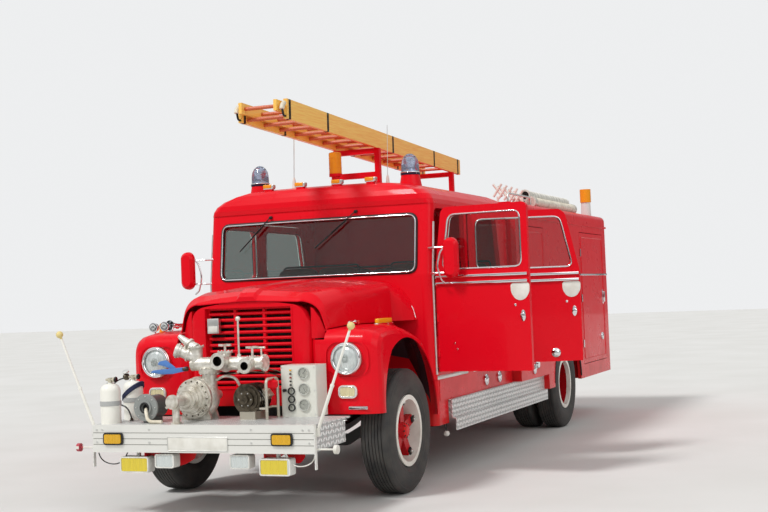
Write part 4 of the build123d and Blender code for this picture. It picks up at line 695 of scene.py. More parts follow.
def studs(name, places, way, radius, height, finish, sides=6, body="chassis", stand=None):
    """Bolt heads at several places, all facing one way, with chamfered tops."""
    size = {"vertices": sides, "radius": radius, "depth": height,
            "rotation": Vector(way).normalized().to_track_quat("Z", "Y").to_euler()}
    first, *rest = placed(places, stand)
    piece = begin(bpy.ops.mesh.primitive_cylinder_add, name, location=first, **size)
    for place in rest:
        bpy.ops.mesh.primitive_cylinder_add(location=place, **size)
    bpy.ops.mesh.select_all(action="SELECT")
    bpy.ops.mesh.bevel(offset=min(radius, height) * 0.22, segments=1, affect="EDGES")
    return settle(piece, finish, body, stand)


def ring_of(centre, way, radius, count):
    """Places evenly round a circle about an axis."""
    turn = Vector(way).normalized().to_track_quat("Z", "Y").to_matrix()
    turns = [2 * pi * k / count for k in range(count)]
    return [Vector(centre) + turn @ Vector((radius * cos(t), radius * sin(t), 0)) for t in turns]


def hoop(name, centre, way, reach, count, radius, finish, sides=3):
    """A ring of round section about an axis."""
    return rod(name, ring_of(centre, way, reach, count), radius, finish, closed=True, sides=sides)


def bolt_circle(name, centre, way, reach, count, radius, height, finish, body="chassis"):
    """Bolt heads round a circle, facing along its axis."""
    return studs(name, ring_of(centre, way, reach, count), way, radius, height, finish, body=body)


def staple(name, start, out, end, radius, finish, soft, body="chassis"):
    """A grip or rail: out from its first foot, along, and back to its other foot."""
    start, out, end = Vector(start), Vector(out), Vector(end)
    return rod(name, [start, start + out, end + out, end], radius, finish, soft=soft, body=body)


def mirrored(hand, *points):
    """Points of the left side, or their mirror images on the right."""
    return [(x, hand * y, z) for x, y, z in points]


def cushion(name, low, high, finish, stand=None):
    """A stuffed pad: a closed form crowned by smoothing, its corners drawn in."""
    piece = box(name, low, high, stand)
    bpy.ops.mesh.subdivide(number_cuts=7)
    bpy.ops.mesh.vertices_smooth(factor=0.5, repeat=5)
    bpy.ops.mesh.select_all(action="SELECT")
    settle(piece, finish, "chassis", stand, 60, "seat_leather")
    soften = piece.modifiers.new("soften", "SUBSURF")
    soften.levels = soften.render_levels = 1
    return piece


def screen_x(y, z, stand_off):
    """Length of the cab's bowed front wall at a width and height, moved out by a distance."""
    lean = 0.085 * max(0.0, (z - 1.760) / 0.620)
    return -0.640 - lean - 0.042 * y * y + stand_off


# ---- the pieces, one operator for each group

class EngineColours(bpy.types.PropertyGroup):
    body_red: bpy.props.FloatVectorProperty(
        name="Body red", description="Gloss enamel of the cab, bonnet and body",
        subtype="COLOR", min=0, max=1, default=linear("#E00A1E"))
    white_enamel: bpy.props.FloatVectorProperty(
        name="White enamel", description="Gauge box, wheels and marker poles",
        subtype="COLOR", min=0, max=1, default=linear("#EFEDE4"))


class EngineSizes(bpy.types.PropertyGroup):
    lens: bpy.props.FloatProperty(
        name="Lens", description="Focal length of the camera on a 36 mm sensor", default=60.94)
    floor_half: bpy.props.FloatProperty(
        name="Floor", description="Half the side of the floor", default=60.0, unit="LENGTH")
    glass_thickness: bpy.props.FloatProperty(
        name="Glass", description="Thickness of a door's window glass", default=0.005,
        unit="LENGTH")


class ENGINE_OT_finishes(bpy.types.Operator):
    """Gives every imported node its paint, metal, glass or rubber"""

    bl_idname = "engine.finishes"
    bl_label = "Finishes"

    def execute(self, context):
        make_finishes()
        for finish, nodes in NODE_FINISHES.items():
            for name in nodes:
                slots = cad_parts[name].data.materials
                slots.clear()
                slots.append(FINISHES[finish])
        return {"FINISHED"}


class ENGINE_OT_windows(bpy.types.Operator):
    """Door glass in bright frames, the windscreen's rubber and its wipers"""

    bl_idname = "engine.windows"
    bl_label = "Windows"

    def execute(self, context):
        thick = context.scene.engine_sizes.glass_thickness
        # the glass reaches this far into its frame
        edge = 0.005
        low, high, margin = 1.798 - edge, 2.258 + edge, 0.066
        for name, (_, _, (_, length, front_lean, rear_lean)) in DOORS.items():
            door = {"body": name, "stand": door_stand(name)}
            outline = flat_loop(((0.080 - edge, low), (length - margin + edge, low),
                                 (length - 0.85 * rear_lean - margin + edge, high),
                                 (0.080 + 0.9 * front_lean - edge, high)), margin)
            plate(f"{name}_glass", outline, -0.0325, -0.0325 + thick, 0, "glass",
                  slot="window_glass", **door)
            for word, depth, finish, sides in (("outer_frame", -0.0055, "chrome", 3),
                                               ("inner_frame", -0.0545, "chrome", 3),
                                               ("gasket", -0.012, "seal", 2)):
                rod(f"{name}_{word}", [(x, y, depth) for x, y in outline], 0.0075, finish,
                    closed=True, sides=sides, **door)
        # windscreen: rubber with a bright strip in it
        for name, grow, radius, out, finish in (
                ("windscreen_rubber", 0.002, 0.016, 0.002, "seal"),
                ("windscreen_strip", -0.002, 0.006, 0.016, "chrome")):
            loop = oblong(-0.950 - grow, 1.786 - grow, 0.950 + grow, 2.286 + grow, 0.070, 8)
            flat = []
            for (y0, z0), (y1, z1) in zip(loop, loop[1:] + loop[:1]):
                cuts = max(1, int(abs(y1 - y0) / 0.12))
                flat += [(y0 + (y1 - y0) * k / cuts, z0 + (z1 - z0) * k / cuts)
                         for k in range(cuts)]
            rod(name, [(screen_x(y, z, out), y, z) for y, z in flat], radius, finish, closed=True)
        # wipers: pivot high up, tip low down, each as width and height
        lift = Vector((0.016, 0, 0))
        for word, top, low in (("right", (-0.442, 2.335), (-0.700, 2.090)),
                               ("left", (0.397, 2.340), (0.040, 2.055))):
            pivot = Vector((screen_x(*top, 0.012), *top))
            way = Vector((screen_x(*low, 0.022), *low)) - pivot
            turned(f"wiper_{word}_pivot", pivot, (1, 0, -0.1),
                   ((-0.012, 0.015), (0.012, 0.015), (0.016, 0.011)), "black", 16)
            rod(f"wiper_{word}_arm", [pivot + lift, pivot + way * 0.62 + lift], 0.0045, "black")
            middle, half = pivot + way * 0.66, way.normalized() * 0.19
            rod(f"wiper_{word}_blade", [middle - half, middle + half], 0.006, "seal")
        return {"FINISHED"}


class ENGINE_OT_doors(bpy.types.Operator):
    """Each cab door's mouldings, blank shield, handle and lock, and its inner trim"""

    bl_idname = "engine.doors"
    bl_label = "Doors"

    def execute(self, context):
        shield = flat_loop(((-0.085, 0.052), (0.085, 0.052), (0.082, -0.030), (0.046, -0.082),
                            (0.0, -0.098), (-0.046, -0.082), (-0.082, -0.030)), 0.030)
        for name, (_, _, (_, length, _, _)) in DOORS.items():
            door = {"body": name, "stand": door_stand(name)}
            for word, z in (("low", 1.672), ("high", 1.730)):
                block(f"{name}_{word}_moulding", (0.010, z - 0.012, -0.007),
                      (length - 0.010, z + 0.012, 0.0105), 0.005, "chrome", **door)
            plate(f"{name}_blank_shield", [(length - 0.081 + x, 1.602 + y) for x, y in shield],
                  -0.007, -0.0030, 0.001, "tin", **door)
            handle = (length - 0.062, 1.380)
            plate(f"{name}_handle_plate", oval(*handle, 0.022, 0.048), -0.008, -0.002, 0.002,
                  "chrome", **door)
            turned(f"{name}_handle_knob", (*handle, -0.004), UP,
                   ((0, 0.022), (0.008, 0.021), (0.012, 0.0225), (0.0145, 0.018), (0.0155, 0.008)),
                   "chrome", **door)
            turned(f"{name}_lock", (length - 0.130, 1.470, -0.008), UP,
                   ((0, 0.011), (0.005, 0.011), (0.007, 0.007)), "chrome", 16, **door)
            # inner side: trim panel with its screws, pull, window winder and latch case
            plate(f"{name}_inner_panel", oblong(0.070, 0.975, length - 0.085, 1.640, 0.05),
                  -0.0610, -0.0525, 0.003, "hide", **door)
            places = [(x, y, -0.0615) for x in (0.10, length / 2, length - 0.115)
                      for y in (1.005, 1.610)]
            studs(f"{name}_panel_screws", places, DOWN, 0.007, 0.004, "chrome", 12, **door)
            rod(f"{name}_pull", [(length * share, 1.50, depth) for share, depth in (
                (0.42, -0.058), (0.44, -0.092), (0.70, -0.092), (0.72, -0.058))],
                0.009, "ebonite", soft=0.03, **door)
            x = length * 0.32
            turned(f"{name}_winder_boss", (x, 1.30, -0.058), DOWN,
                   ((0, 0.024), (0.012, 0.022), (0.018, 0.014)), "chrome", 20, **door)
            rod(f"{name}_winder", [(x, 1.30, -0.074), (x + 0.09, 1.255, -0.080)], 0.006, "chrome",
                **door)
            turned(f"{name}_winder_knob", (x + 0.09, 1.255, -0.078), DOWN,
                   ((0, 0.010), (0.012, 0.013), (0.026, 0.012), (0.030, 0.006)), "ebonite", 16,
                   **door)
            block(f"{name}_latch_case", (length - 0.030, 1.33, -0.052),
                  (length - 0.001, 1.43, -0.012), 0.003, "iron", **door)
        name = "crew_door_left"
        turned(f"{name}_round_cap", (0.773, 1.000, -0.008), UP,
               ((0, 0.042), (0.006, 0.042), (0.010, 0.036), (0.018, 0.026), (0.022, 0.010)),
               "chrome", 32, name, door_stand(name))
        name = "front_door_left"
        studs(f"{name}_buttons", ((0.166, 1.161, -0.004), (0.187, 1.111, -0.004)), UP,
              0.009, 0.006, "chrome", 16, name, door_stand(name))
        return {"FINISHED"}


class ENGINE_OT_tyres(bpy.types.Operator):
    """Ribbed tyres in place of the plain ones, wheel nuts, hub caps and valves"""

    bl_idname = "engine.tyres"
    bl_label = "Tyres"

    def execute(self, context):
        # half of the tyre's section: width from its middle, radius; the grooves go to a bottom
        bottom = 0.4990 - 0.009
        tread = [(0.0, 0.4995)]
        for start, end in ((0.0095, 0.0155), (0.0365, 0.0440), (0.0640, 0.0710)):
            tread += [(start, 0.4990), (start + 0.001, bottom), (end - 0.001, bottom),
                      (end, 0.4985)]
        wall = [(0.0860, 0.4975), (0.0960, 0.4920), (0.1040, 0.4840), (0.1110, 0.4755),
                (0.1155, 0.4700), (0.1150, 0.4640), (0.1205, 0.4560), (0.1260, 0.4350),
                (0.1305, 0.4050), (0.1310, 0.3800), (0.1285, 0.3550), (0.1240, 0.3400),
                (0.1250, 0.3340), (0.1200, 0.3240), (0.1100, 0.3060), (0.1020, 0.2960),
                (0.0960, 0.2880), (0.0940, 0.2700)]
        half = tread + wall
        section = [(w, r) for w, r in reversed(half)] + [(-w, r) for w, r in half[1:]]
        # axle, length, widths of its tyres, of the hub's face and of the spokes, cap's finish
        axles = (("front", 0.0, (0.990,), 1.075, 1.040, "red"),
                 ("rear", -WHEELBASE, (0.720, 1.020), 1.005, 0.905, "iron"))
        spokes = [radians(90 + 72 * k) for k in range(5)]
        clamp = flat_loop(((-0.026, -0.028), (0.026, -0.028), (0.020, 0.030), (-0.020, 0.030)),
                          0.008)
        for word, hand in SIDES:
            out = (0, hand, 0)
            for axle, x, centres, hub, spoke, finish in axles:
                body = f"{axle}_wheel_{word}"
                for k, y in enumerate(centres):
                    piece = begin(bpy.ops.mesh.primitive_plane_add, f"{body}_ribbed_tyre_{k}",
                                  size=1)
                    mesh = bmesh.from_edit_mesh(piece.data)
                    bmesh.ops.delete(mesh, geom=mesh.verts[:], context="VERTS")
                    line = [mesh.verts.new(at(x, hand * y + w, TYRE_R + r)) for w, r in section]
                    for pair in zip(line, line[1:]):
                        mesh.edges.new(pair)
                    bmesh.update_edit_mesh(piece.data)
                    bpy.ops.mesh.select_all(action="SELECT")
                    bpy.ops.mesh.spin(steps=96, angle=2 * pi, center=at(x, 0, TYRE_R), axis=LEFT)
                    bpy.ops.mesh.select_all(action="SELECT")
                    bpy.ops.mesh.remove_doubles(threshold=0.0002)
                    bpy.ops.mesh.normals_make_consistent(inside=False)
                    settle(piece, "tyre", body, None, 28, "tyre_rubber")
                    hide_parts(f"tyre_{axle}_{word}")
                turned(f"{body}_hub_cap", (x, hand * hub, TYRE_R), out,
                       ((-0.012, 0.060), (0.0, 0.060), (0.004, 0.050), (0.010, 0.044),
                        (0.0135, 0.030), (0.0135, 0.012)), finish, 32, body)
                bolt_circle(f"{body}_hub_bolts", (x, hand * (hub - 0.002), TYRE_R), out, 0.054, 8,
                            0.0075, 0.018, "iron", body)
                # clamps that hold the rim on the five spokes, each with its nut
                nuts = []
                for k, turn in enumerate(spokes):
                    radial = Vector((cos(turn), 0, sin(turn)))
                    foot = Vector((x, hand * spoke, TYRE_R)) + radial * 0.228
                    plate(f"{body}_clamp_{k}", clamp, -0.016, 0.004, 0.002, "iron", body,
                          stand_at(foot, Vector(out).cross(radial), radial))
                    nuts.append(Vector((x, hand * (spoke + 0.022), TYRE_R)) + radial * 0.226)
                studs(f"{body}_rim_nuts", nuts, out, 0.014, 0.020, "board", body=body)
                rod(f"{body}_valve", [(x + 0.235, hand * (spoke - 0.02), TYRE_R + 0.06),
                                      (x + 0.232, hand * (spoke + 0.03), TYRE_R + 0.06)],
                    0.004, "board", body=body)
        return {"FINISHED"}


class ENGINE_OT_pump(bpy.types.Operator):
    """What the front platform carries: bolts, pipes, levers, dials and the blank plate"""

    bl_idname = "engine.pump"
    bl_label = "Pump"

    def execute(self, context):
        self.bolts_and_levers()
        self.pipes_and_priming()
        self.gauge_box()
        self.bottles()
        self.board()
        return {"FINISHED"}

    def bolts_and_levers(self):
        """Bolts of the casing, neck and manifold, coupling lugs, blue lever and tap"""
        pump_y, pump_z = -0.240, 0.862
        neck_y = pump_y + 0.088
        # name, centre, way, radius of the circle, number, radius and height of a head, finish
        for circle in (
                ("cover_bolts", (1.114, pump_y, pump_z), FORWARD, 0.1325, 16, 0.0068, 0.008,
                 "bronze"),
                ("volute_bolts", (1.063, pump_y, pump_z), BACK, 0.1445, 16, 0.0075, 0.010, "board"),
                ("neck_bolts", (0.985, neck_y, 1.083), UP, 0.070, 8, 0.0085, 0.012, "board"),
                ("neck_nuts", (0.985, neck_y, 1.044), DOWN, 0.070, 8, 0.0085, 0.012, "board"),
                ("manifold_end_bolts", (1.0, 0.347, 1.120), LEFT, 0.054, 8, 0.0075, 0.009, "board"),
                ("bonnet_bolts_300", (1.0, 0.0, 1.217), UP, 0.051, 6, 0.006, 0.009, "board"),
                ("bonnet_bolts_535", (1.0, 0.235, 1.171), UP, 0.039, 6, 0.006, 0.009, "board"),
                ("bonnet_bolts_45", (1.0, -0.255, 1.263), UP, 0.055, 6, 0.006, 0.009, "board")):
            bolt_circle(*circle)
        # lugs of the suction cap and of the two outlets' coupling rings
        lug = flat_loop(((-0.009, -0.012), (0.009, -0.012), (0.007, 0.016), (-0.007, 0.016)), 0.005)
        for word, centre, radius in (("suction", (1.396, pump_y, pump_z), 0.054),
                                     ("middle", (1.121, 0.0, 1.145), 0.064),
                                     ("left", (1.131, 0.235, 1.106), 0.058)):
            for k in (0, 1):
                turn = radians(38 + 180 * k)
                radial = Vector((0, cos(turn), sin(turn)))
                plate(f"{word}_lug_{k}", lug, -0.010, 0.010, 0.003, "cast",
                      stand=stand_at(Vector(centre) + radial * (radius + 0.004), FORWARD, radial))
        turned("casing_drain", (1.020, pump_y, 0.735), (0.2, 0, -1),
               ((-0.02, 0.012), (0.008, 0.012), (0.010, 0.016), (0.020, 0.016), (0.024, 0.008)),
               "bronze", 12)
        # forked blue lever of the side valve, on its boss
        lever = flat_loop(((-0.310, 1.072), (-0.300, 1.104), (-0.450, 1.094), (-0.600, 1.082),
                           (-0.625, 1.066), (-0.520, 1.050), (-0.420, 1.052)), 0.012)
        plate("blue_lever", lever, -0.004, 0.004, 0.002, "blue_grip", stand=facing(1.082))
        fork = flat_loop(((-0.425, 1.085), (-0.395, 1.100), (-0.480, 1.160), (-0.545, 1.150),
                          (-0.560, 1.125), (-0.500, 1.112)), 0.012)
        plate("blue_lever_fork", fork, -0.010, -0.004, 0.002, "blue_grip", stand=facing(1.082))
        turned("blue_lever_boss", (1.045, -0.318, 1.088), FORWARD,
               ((0, 0.020), (0.030, 0.018), (0.046, 0.014), (0.050, 0.009)), "bronze", 20)
        # upright tap handle beside the manifold
        rod("tap_stem", [(1.0, 0.312, 1.150), (1.0, 0.312, 1.236)], 0.007, "cast")
        rod("tap_bar", [(1.0, 0.280, 1.236), (1.0, 0.344, 1.236)], 0.008, "cast")

    def pipes_and_priming(self):
        """Gauge and priming pipes, painted shade in the side branch's bore, the priming engine's
        small parts
        """
        for name, radius, finish, *points in (
                ("priming_pipe", 0.011, "cast",
                 (0.985, -0.10, 0.99), (0.985, -0.02, 1.03), (0.98, 0.07, 1.01),
                 (0.97, 0.10, 0.95)),
                ("pressure_line", 0.0045, "bronze", (0.92, -0.19, 1.00), (0.90, -0.06, 1.06),
                 (0.86, 0.10, 1.075), (0.80, 0.30, 1.06), (0.78, 0.395, 1.02)),
                ("vacuum_line", 0.0045, "bronze", (0.90, -0.25, 0.965), (0.86, -0.05, 1.03),
                 (0.82, 0.12, 1.045), (0.77, 0.30, 1.02), (0.75, 0.395, 0.98)),
                ("fuel_pipe", 0.004, "ebonite",
                 (1.03, 0.27, 0.93), (1.06, 0.33, 0.90), (1.05, 0.36, 0.82), (1.03, 0.33, 0.79)),
                ("drum_pipe", 0.013, "cream", (1.290, -0.540, 0.800), (1.325, -0.520, 0.785),
                 (1.340, -0.500, 0.730), (1.345, -0.470, 0.7105), (1.345, -0.370, 0.7105))):
            rod(name, points, radius, finish, soft=0.05)
        # a thin black disc in the side branch's mouth: painted shade inside its bore
        turned("branch_bore", (1.0328, -0.3574, 1.2157), (50, -156, 62),
               ((-0.002, 0.0375), (0.001, 0.0375)), "seal", 32)
        # priming engine: tank with its cap, and the plug
        turned("primer_tank", (0.955, 0.372, 0.925), UP,
               ((0, 0.034), (0.012, 0.044), (0.050, 0.044), (0.062, 0.034), (0.064, 0.016),
                (0.074, 0.016), (0.078, 0.012)), "red", 28)
        turned("primer_plug", (0.955, 0.316, 0.906), (0, 0.8, 0.6),
               ((0, 0.012), (0.018, 0.012), (0.020, 0.007), (0.040, 0.006)), "cream", 12)
        bolt_circle("primer_bolts", (1.083, 0.200, 0.850), FORWARD, 0.052, 6, 0.006, 0.007, "board")

    def gauge_box(self):
        """Dials with their marks and hands, small lamps, knob and screws of the box's face"""
        for k, (y, z, rim, hand_turn) in enumerate(GAUGES):
            dial = rim - 0.0075
            turned(f"dial_{k}", (0.8495, y, z), FORWARD,
                   ((0, dial), (0.004, dial), (0.0042, dial - 0.001)), "face", 40)
            reach, mark = dial * 0.84, (0.0008, 0.0012, dial * 0.18)
            marks = begin(bpy.ops.mesh.primitive_cube_add, f"dial_marks_{k}", size=1,
                          location=at(0.8540, y, z - reach), scale=mark)
            bpy.ops.mesh.select_all(action="DESELECT")
            for n in range(-4, 5):
                turn = radians(36 * n + 180)
                bpy.ops.mesh.primitive_cube_add(
                    size=1, location=at(0.8540, y + reach * sin(turn), z - reach * cos(turn)),
                    rotation=(turn, 0, 0), scale=mark)
            settle(marks, "ebonite")
            way = Vector((0, sin(radians(hand_turn)), cos(radians(hand_turn))))
            middle = Vector((0.8555, y, z))
            rod(f"dial_hand_{k}", [middle - way * dial * 0.2, middle + way * dial * 0.72], 0.0011,
                "seal", sides=1)
            turned(f"dial_glass_{k}", (0.8590, y, z), FORWARD, ((0, dial), (0.0015, dial)), "lens",
                   40)
        for k, finish in enumerate(("amber", "ebonite", "ruby", "ebonite", "ebonite")):
            z = 1.052 - 0.028 * k
            block(f"pilot_lamp_{k}", (0.857, 0.471, z - 0.006), (0.862, 0.489, z + 0.006), 0.0015,
                  finish)
        turned("box_knob", (0.865, 0.430, 0.899), FORWARD,
               ((0, 0.012), (0.010, 0.0135), (0.016, 0.012), (0.018, 0.005)), "ebonite", 20)
        studs("box_screws", [(0.8515, y, z) for y in (0.404, 0.676) for z in (0.715, 0.895, 1.072)],
              FORWARD, 0.005, 0.003, "board", 12)

    def bottles(self):
        """The drum's bolts and lip; the bottles' wheels, regulator, hose and slanting strap"""
        drum_y, drum_z = -0.548, 0.812
        bolt_circle("drum_bolts", (1.2865, drum_y, drum_z), FORWARD, 0.084, 8, 0.007, 0.007,
                    "board")
        hoop("drum_lip", (1.300, drum_y, drum_z), FORWARD, 0.036, 24, 0.007, "seal")
        for word, x in (("front", 1.300), ("rear", 0.985)):
            turned(f"{word}_bottle_wheel", (x, -0.8050, 1.030), LEFT,
                   ((0, 0.019), (0.004, 0.023), (0.012, 0.023), (0.016, 0.017)), "ebonite", 10)
            hoop(f"{word}_bottle_collar", (x, -0.850, 1.002), UP, 0.021, 20, 0.006, "board")
        turned("regulator", (0.985, -0.885, 1.030), (0, -1, 0),
               ((0, 0.012), (0.010, 0.026), (0.030, 0.028), (0.044, 0.020), (0.050, 0.008)),
               "bronze")
        turned("regulator_dial", (0.985, -0.908, 1.052), (0.5, 0, 1),
               ((0, 0.006), (0.014, 0.006), (0.016, 0.026), (0.026, 0.027), (0.028, 0.022)),
               "board")
        cord("regulator_hose",
             ((0.985, -0.905, 1.021), (0.987, -0.970, 1.018), (1.035, -1.015, 0.965),
              (1.080, -0.990, 0.880), (1.105, -0.910, 0.825), (1.118, -0.805, 0.795),
              (1.118, -0.785, 0.712)), 0.012, "ebonite")
        turned("regulator_hose_foot", (1.118, -0.785, 0.6965), UP,
               ((0, 0.016), (0.008, 0.016), (0.012, 0.010), (0.022, 0.010)), "bronze", 12)
        reach, tilt = 0.0815, 0.060
        # three turns of the strap, named by their height in millimetres over the lowest
        for k in (0, 13, 26):
            z = 0.902 + k / 1000
            strap = [(0.985 + reach * cos(t), -0.850 + reach * sin(t), z + tilt * sin(t))
                     for t in (2 * pi * n / 32 for n in range(32))]
            rod(f"bottle_strap_{k}", strap, 0.0075, "webbing", closed=True, sides=2)

    def board(self):
        """Plain plate in its rim, bolts, brackets, feeler cables and the poles' sleeves"""
        plate("blank_plate", oblong(-0.269, 0.508, 0.231, 0.604, 0.008), 0.0005, 0.0035, 0.0008,
              "tin", stand=facing(1.430))
        rod("blank_plate_rim", on_face(1.4335, oblong(-0.271, 0.506, 0.233, 0.606, 0.009)),
            0.0032, "board", closed=True, sides=2)
        places = [(1.4315, side * y, z) for side in (-1, 1) for y, z in
                  ((0.895, 0.660), (0.895, 0.566), (0.845, 0.660), (0.430, 0.662), (0.430, 0.566))]
        studs("board_bolts", places, FORWARD, 0.009, 0.006, "board", 12)
        studs("strap_bolts", [(1.4305, side * 0.934, z) for side in (-1, 1)
                              for z in (0.415, 0.455, 0.62)], FORWARD, 0.0045, 0.004, "board", 10)
        studs("side_plate_bolts", [(x, side * 0.9355, z) for side in (-1, 1)
                                   for x in (0.91, 1.12, 1.34) for z in (0.535, 0.672)],
              LEFT, 0.007, 0.016, "board", 12)
        bracket = flat_loop(((0.800, 0.500), (1.385, 0.495), (1.385, 0.452), (1.300, 0.400),
                             (1.180, 0.420), (0.800, 0.480)), 0.010)
        flaps = {
            "left": ((0.600, 0.500), (0.765, 0.500), (0.765, 0.440), (0.720, 0.395),
                     (0.645, 0.405)),
            "right": ((-0.330, 0.490), (-0.130, 0.490), (-0.160, 0.420), (-0.240, 0.380),
                      (-0.330, 0.360)),
        }
        for word, hand in SIDES:
            plate(f"board_bracket_{word}", bracket, -0.004, 0.004, 0.0015, "red",
                  stand=beside(hand * 0.505))
            plate(f"board_flap_{word}", flat_loop(flaps[word], 0.020), -0.0015, 0.0015, 0, "red",
                  stand=facing(1.240))
            route = ((1.385, 0.915, 0.480), (1.384, 0.905, 0.440), (1.380, 0.850, 0.400),
                     (1.375, 0.760, 0.390), (1.370, 0.690, 0.430), (1.370, 0.660, 0.492))
            cord(f"feeler_cable_{word}", mirrored(hand, *route), 0.009,
                 "tin" if word == "left" else "ebonite")
            foot = Vector((1.380, hand * 0.945, 0.660))
            way = Vector((1.392, hand * 1.235, 1.390)) - foot
            rod(f"pole_sleeve_{word}", [foot + way * 0.02, foot + way * 0.42], 0.0125, "pole")
            rod(f"pole_collar_{word}", [foot + way * 0.415, foot + way * 0.435], 0.0150, "white")


class ENGINE_OT_nose(bpy.types.Operator):
    """Bright work on the nose: lamp bezels, side lamps, horn, bonnet catches and beading"""

    bl_idname = "engine.nose"
    bl_label = "Nose"

    def execute(self, context):
        for word, hand in SIDES:
            lamp_y = hand * 0.850
            hoop(f"headlamp_{word}_bezel", (0.650, lamp_y, 1.120), FORWARD, 0.113, 48, 0.0125,
                 "chrome", 4)
            turned(f"headlamp_{word}_bulb", (0.668, lamp_y, 1.120), FORWARD,
                   ((-0.006, 0.030), (0.000, 0.030), (0.003, 0.024), (0.004, 0.010)), "lens", 28)
            rim = oblong(-0.066, -0.039, 0.066, 0.039, 0.028)
            rod(f"parking_lamp_{word}_rim", [(0.634, lamp_y + y, 0.865 + z) for y, z in rim],
                0.0042, "chrome", closed=True)
            studs(f"parking_lamp_{word}_screws",
                  [(0.6365, lamp_y + y, 0.865) for y in (-0.0705, 0.0705)],
                  FORWARD, 0.004, 0.003, "board", 10)
            # catch that holds the bonnet down on the wing
            rod(f"bonnet_catch_{word}", mirrored(
                hand, (0.255, 0.800, 1.374), (0.260, 0.8060, 1.398), (0.440, 0.8000, 1.398),
                (0.455, 0.795, 1.374)), 0.0065, "chrome", soft=0.02)
            turned(f"bonnet_catch_{word}_knob", (0.350, hand * 0.804, 1.392), (0, hand, 0.35),
                   ((-0.004, 0.010), (0.012, 0.014), (0.020, 0.010)), "chrome", 16)
            # long amber side lamp in its bright case, on the wing's top beside the bonnet
            block(f"side_lamp_{word}_case", (-0.225, hand * 0.868, 1.345),
                  (0.112, hand * 0.912, 1.372), 0.006, "chrome")
            block(f"side_lamp_{word}_lens", (-0.205, hand * 0.872, 1.370),
                  (0.092, hand * 0.908, 1.408), 0.010, "amber", steps=3)
            # bright beading on the cowl's joint with the cab
            rod(f"cowl_beading_{word}", mirrored(
                hand, (-0.632, 0.746, 1.668), (-0.632, 0.843, 1.578), (-0.662, 0.915, 1.480),
                (-0.662, 0.940, 1.390)), 0.006, "chrome", soft=0.02)
        # plain bright strip low on the left wing, and the box on the grille's shell
        plate("blank_wing_plate", oblong(0.850, 0.728, 1.010, 0.752, 0.006), 0.0, 0.004, 0.001,
              "chrome", stand=facing(0.6195))
        block("grille_box", (0.596, -0.358, 1.340), (0.640, -0.252, 1.462), 0.006, "board")
        block("grille_box_panel", (0.638, -0.346, 1.352), (0.6435, -0.264, 1.400), 0.0025, "tin")
        # right wing: two small spot lamps, a horn and an orange lamp
        for k, (x, y, z) in enumerate(((0.350, -1.040, 1.398), (0.350, -0.932, 1.405))):
            turned(f"spot_lamp_{k}", (x, y, z), FORWARD,
                   ((-0.060, 0.008), (-0.052, 0.020), (-0.030, 0.034), (0.0, 0.040),
                    (0.006, 0.042), (0.012, 0.040), (0.013, 0.035)), "chrome", 32)
            turned(f"spot_lamp_{k}_glass", (x + 0.012, y, z), FORWARD,
                   ((0.0, 0.035), (0.003, 0.032), (0.006, 0.022), (0.007, 0.008)), "lens", 32)
            rod(f"spot_lamp_{k}_stalk", [(x - 0.02, y, 1.340), (x - 0.02, y, z - 0.03)], 0.007,
                "chrome")
        turned("horn", (0.200, -0.899, 1.412), FORWARD,
               ((-0.200, 0.020), (-0.190, 0.030), (-0.150, 0.030), (-0.140, 0.010), (0.0, 0.014),
                (0.070, 0.022), (0.110, 0.034), (0.124, 0.044), (0.128, 0.043), (0.108, 0.030),
                (0.070, 0.018), (0.040, 0.014)), "chrome", 28)
        rod("horn_bracket", [(0.060, -0.899, 1.350), (0.060, -0.899, 1.388)], 0.008, "chrome")
        turned("wing_lamp", (0.200, -1.050, 1.352), UP,
               ((-0.010, 0.030), (0.010, 0.030), (0.014, 0.026), (0.060, 0.025), (0.074, 0.020),
                (0.080, 0.008)), "orange", 28)
        # plain raised disc on the bonnet's nose
        turned("bonnet_disc", (0.520, 0, 1.640), (1.0, 0, 0.62),
               ((-0.010, 0.048), (0.004, 0.048), (0.007, 0.042), (0.007, 0.020)), "chrome", 32,
               "bonnet")
        return {"FINISHED"}


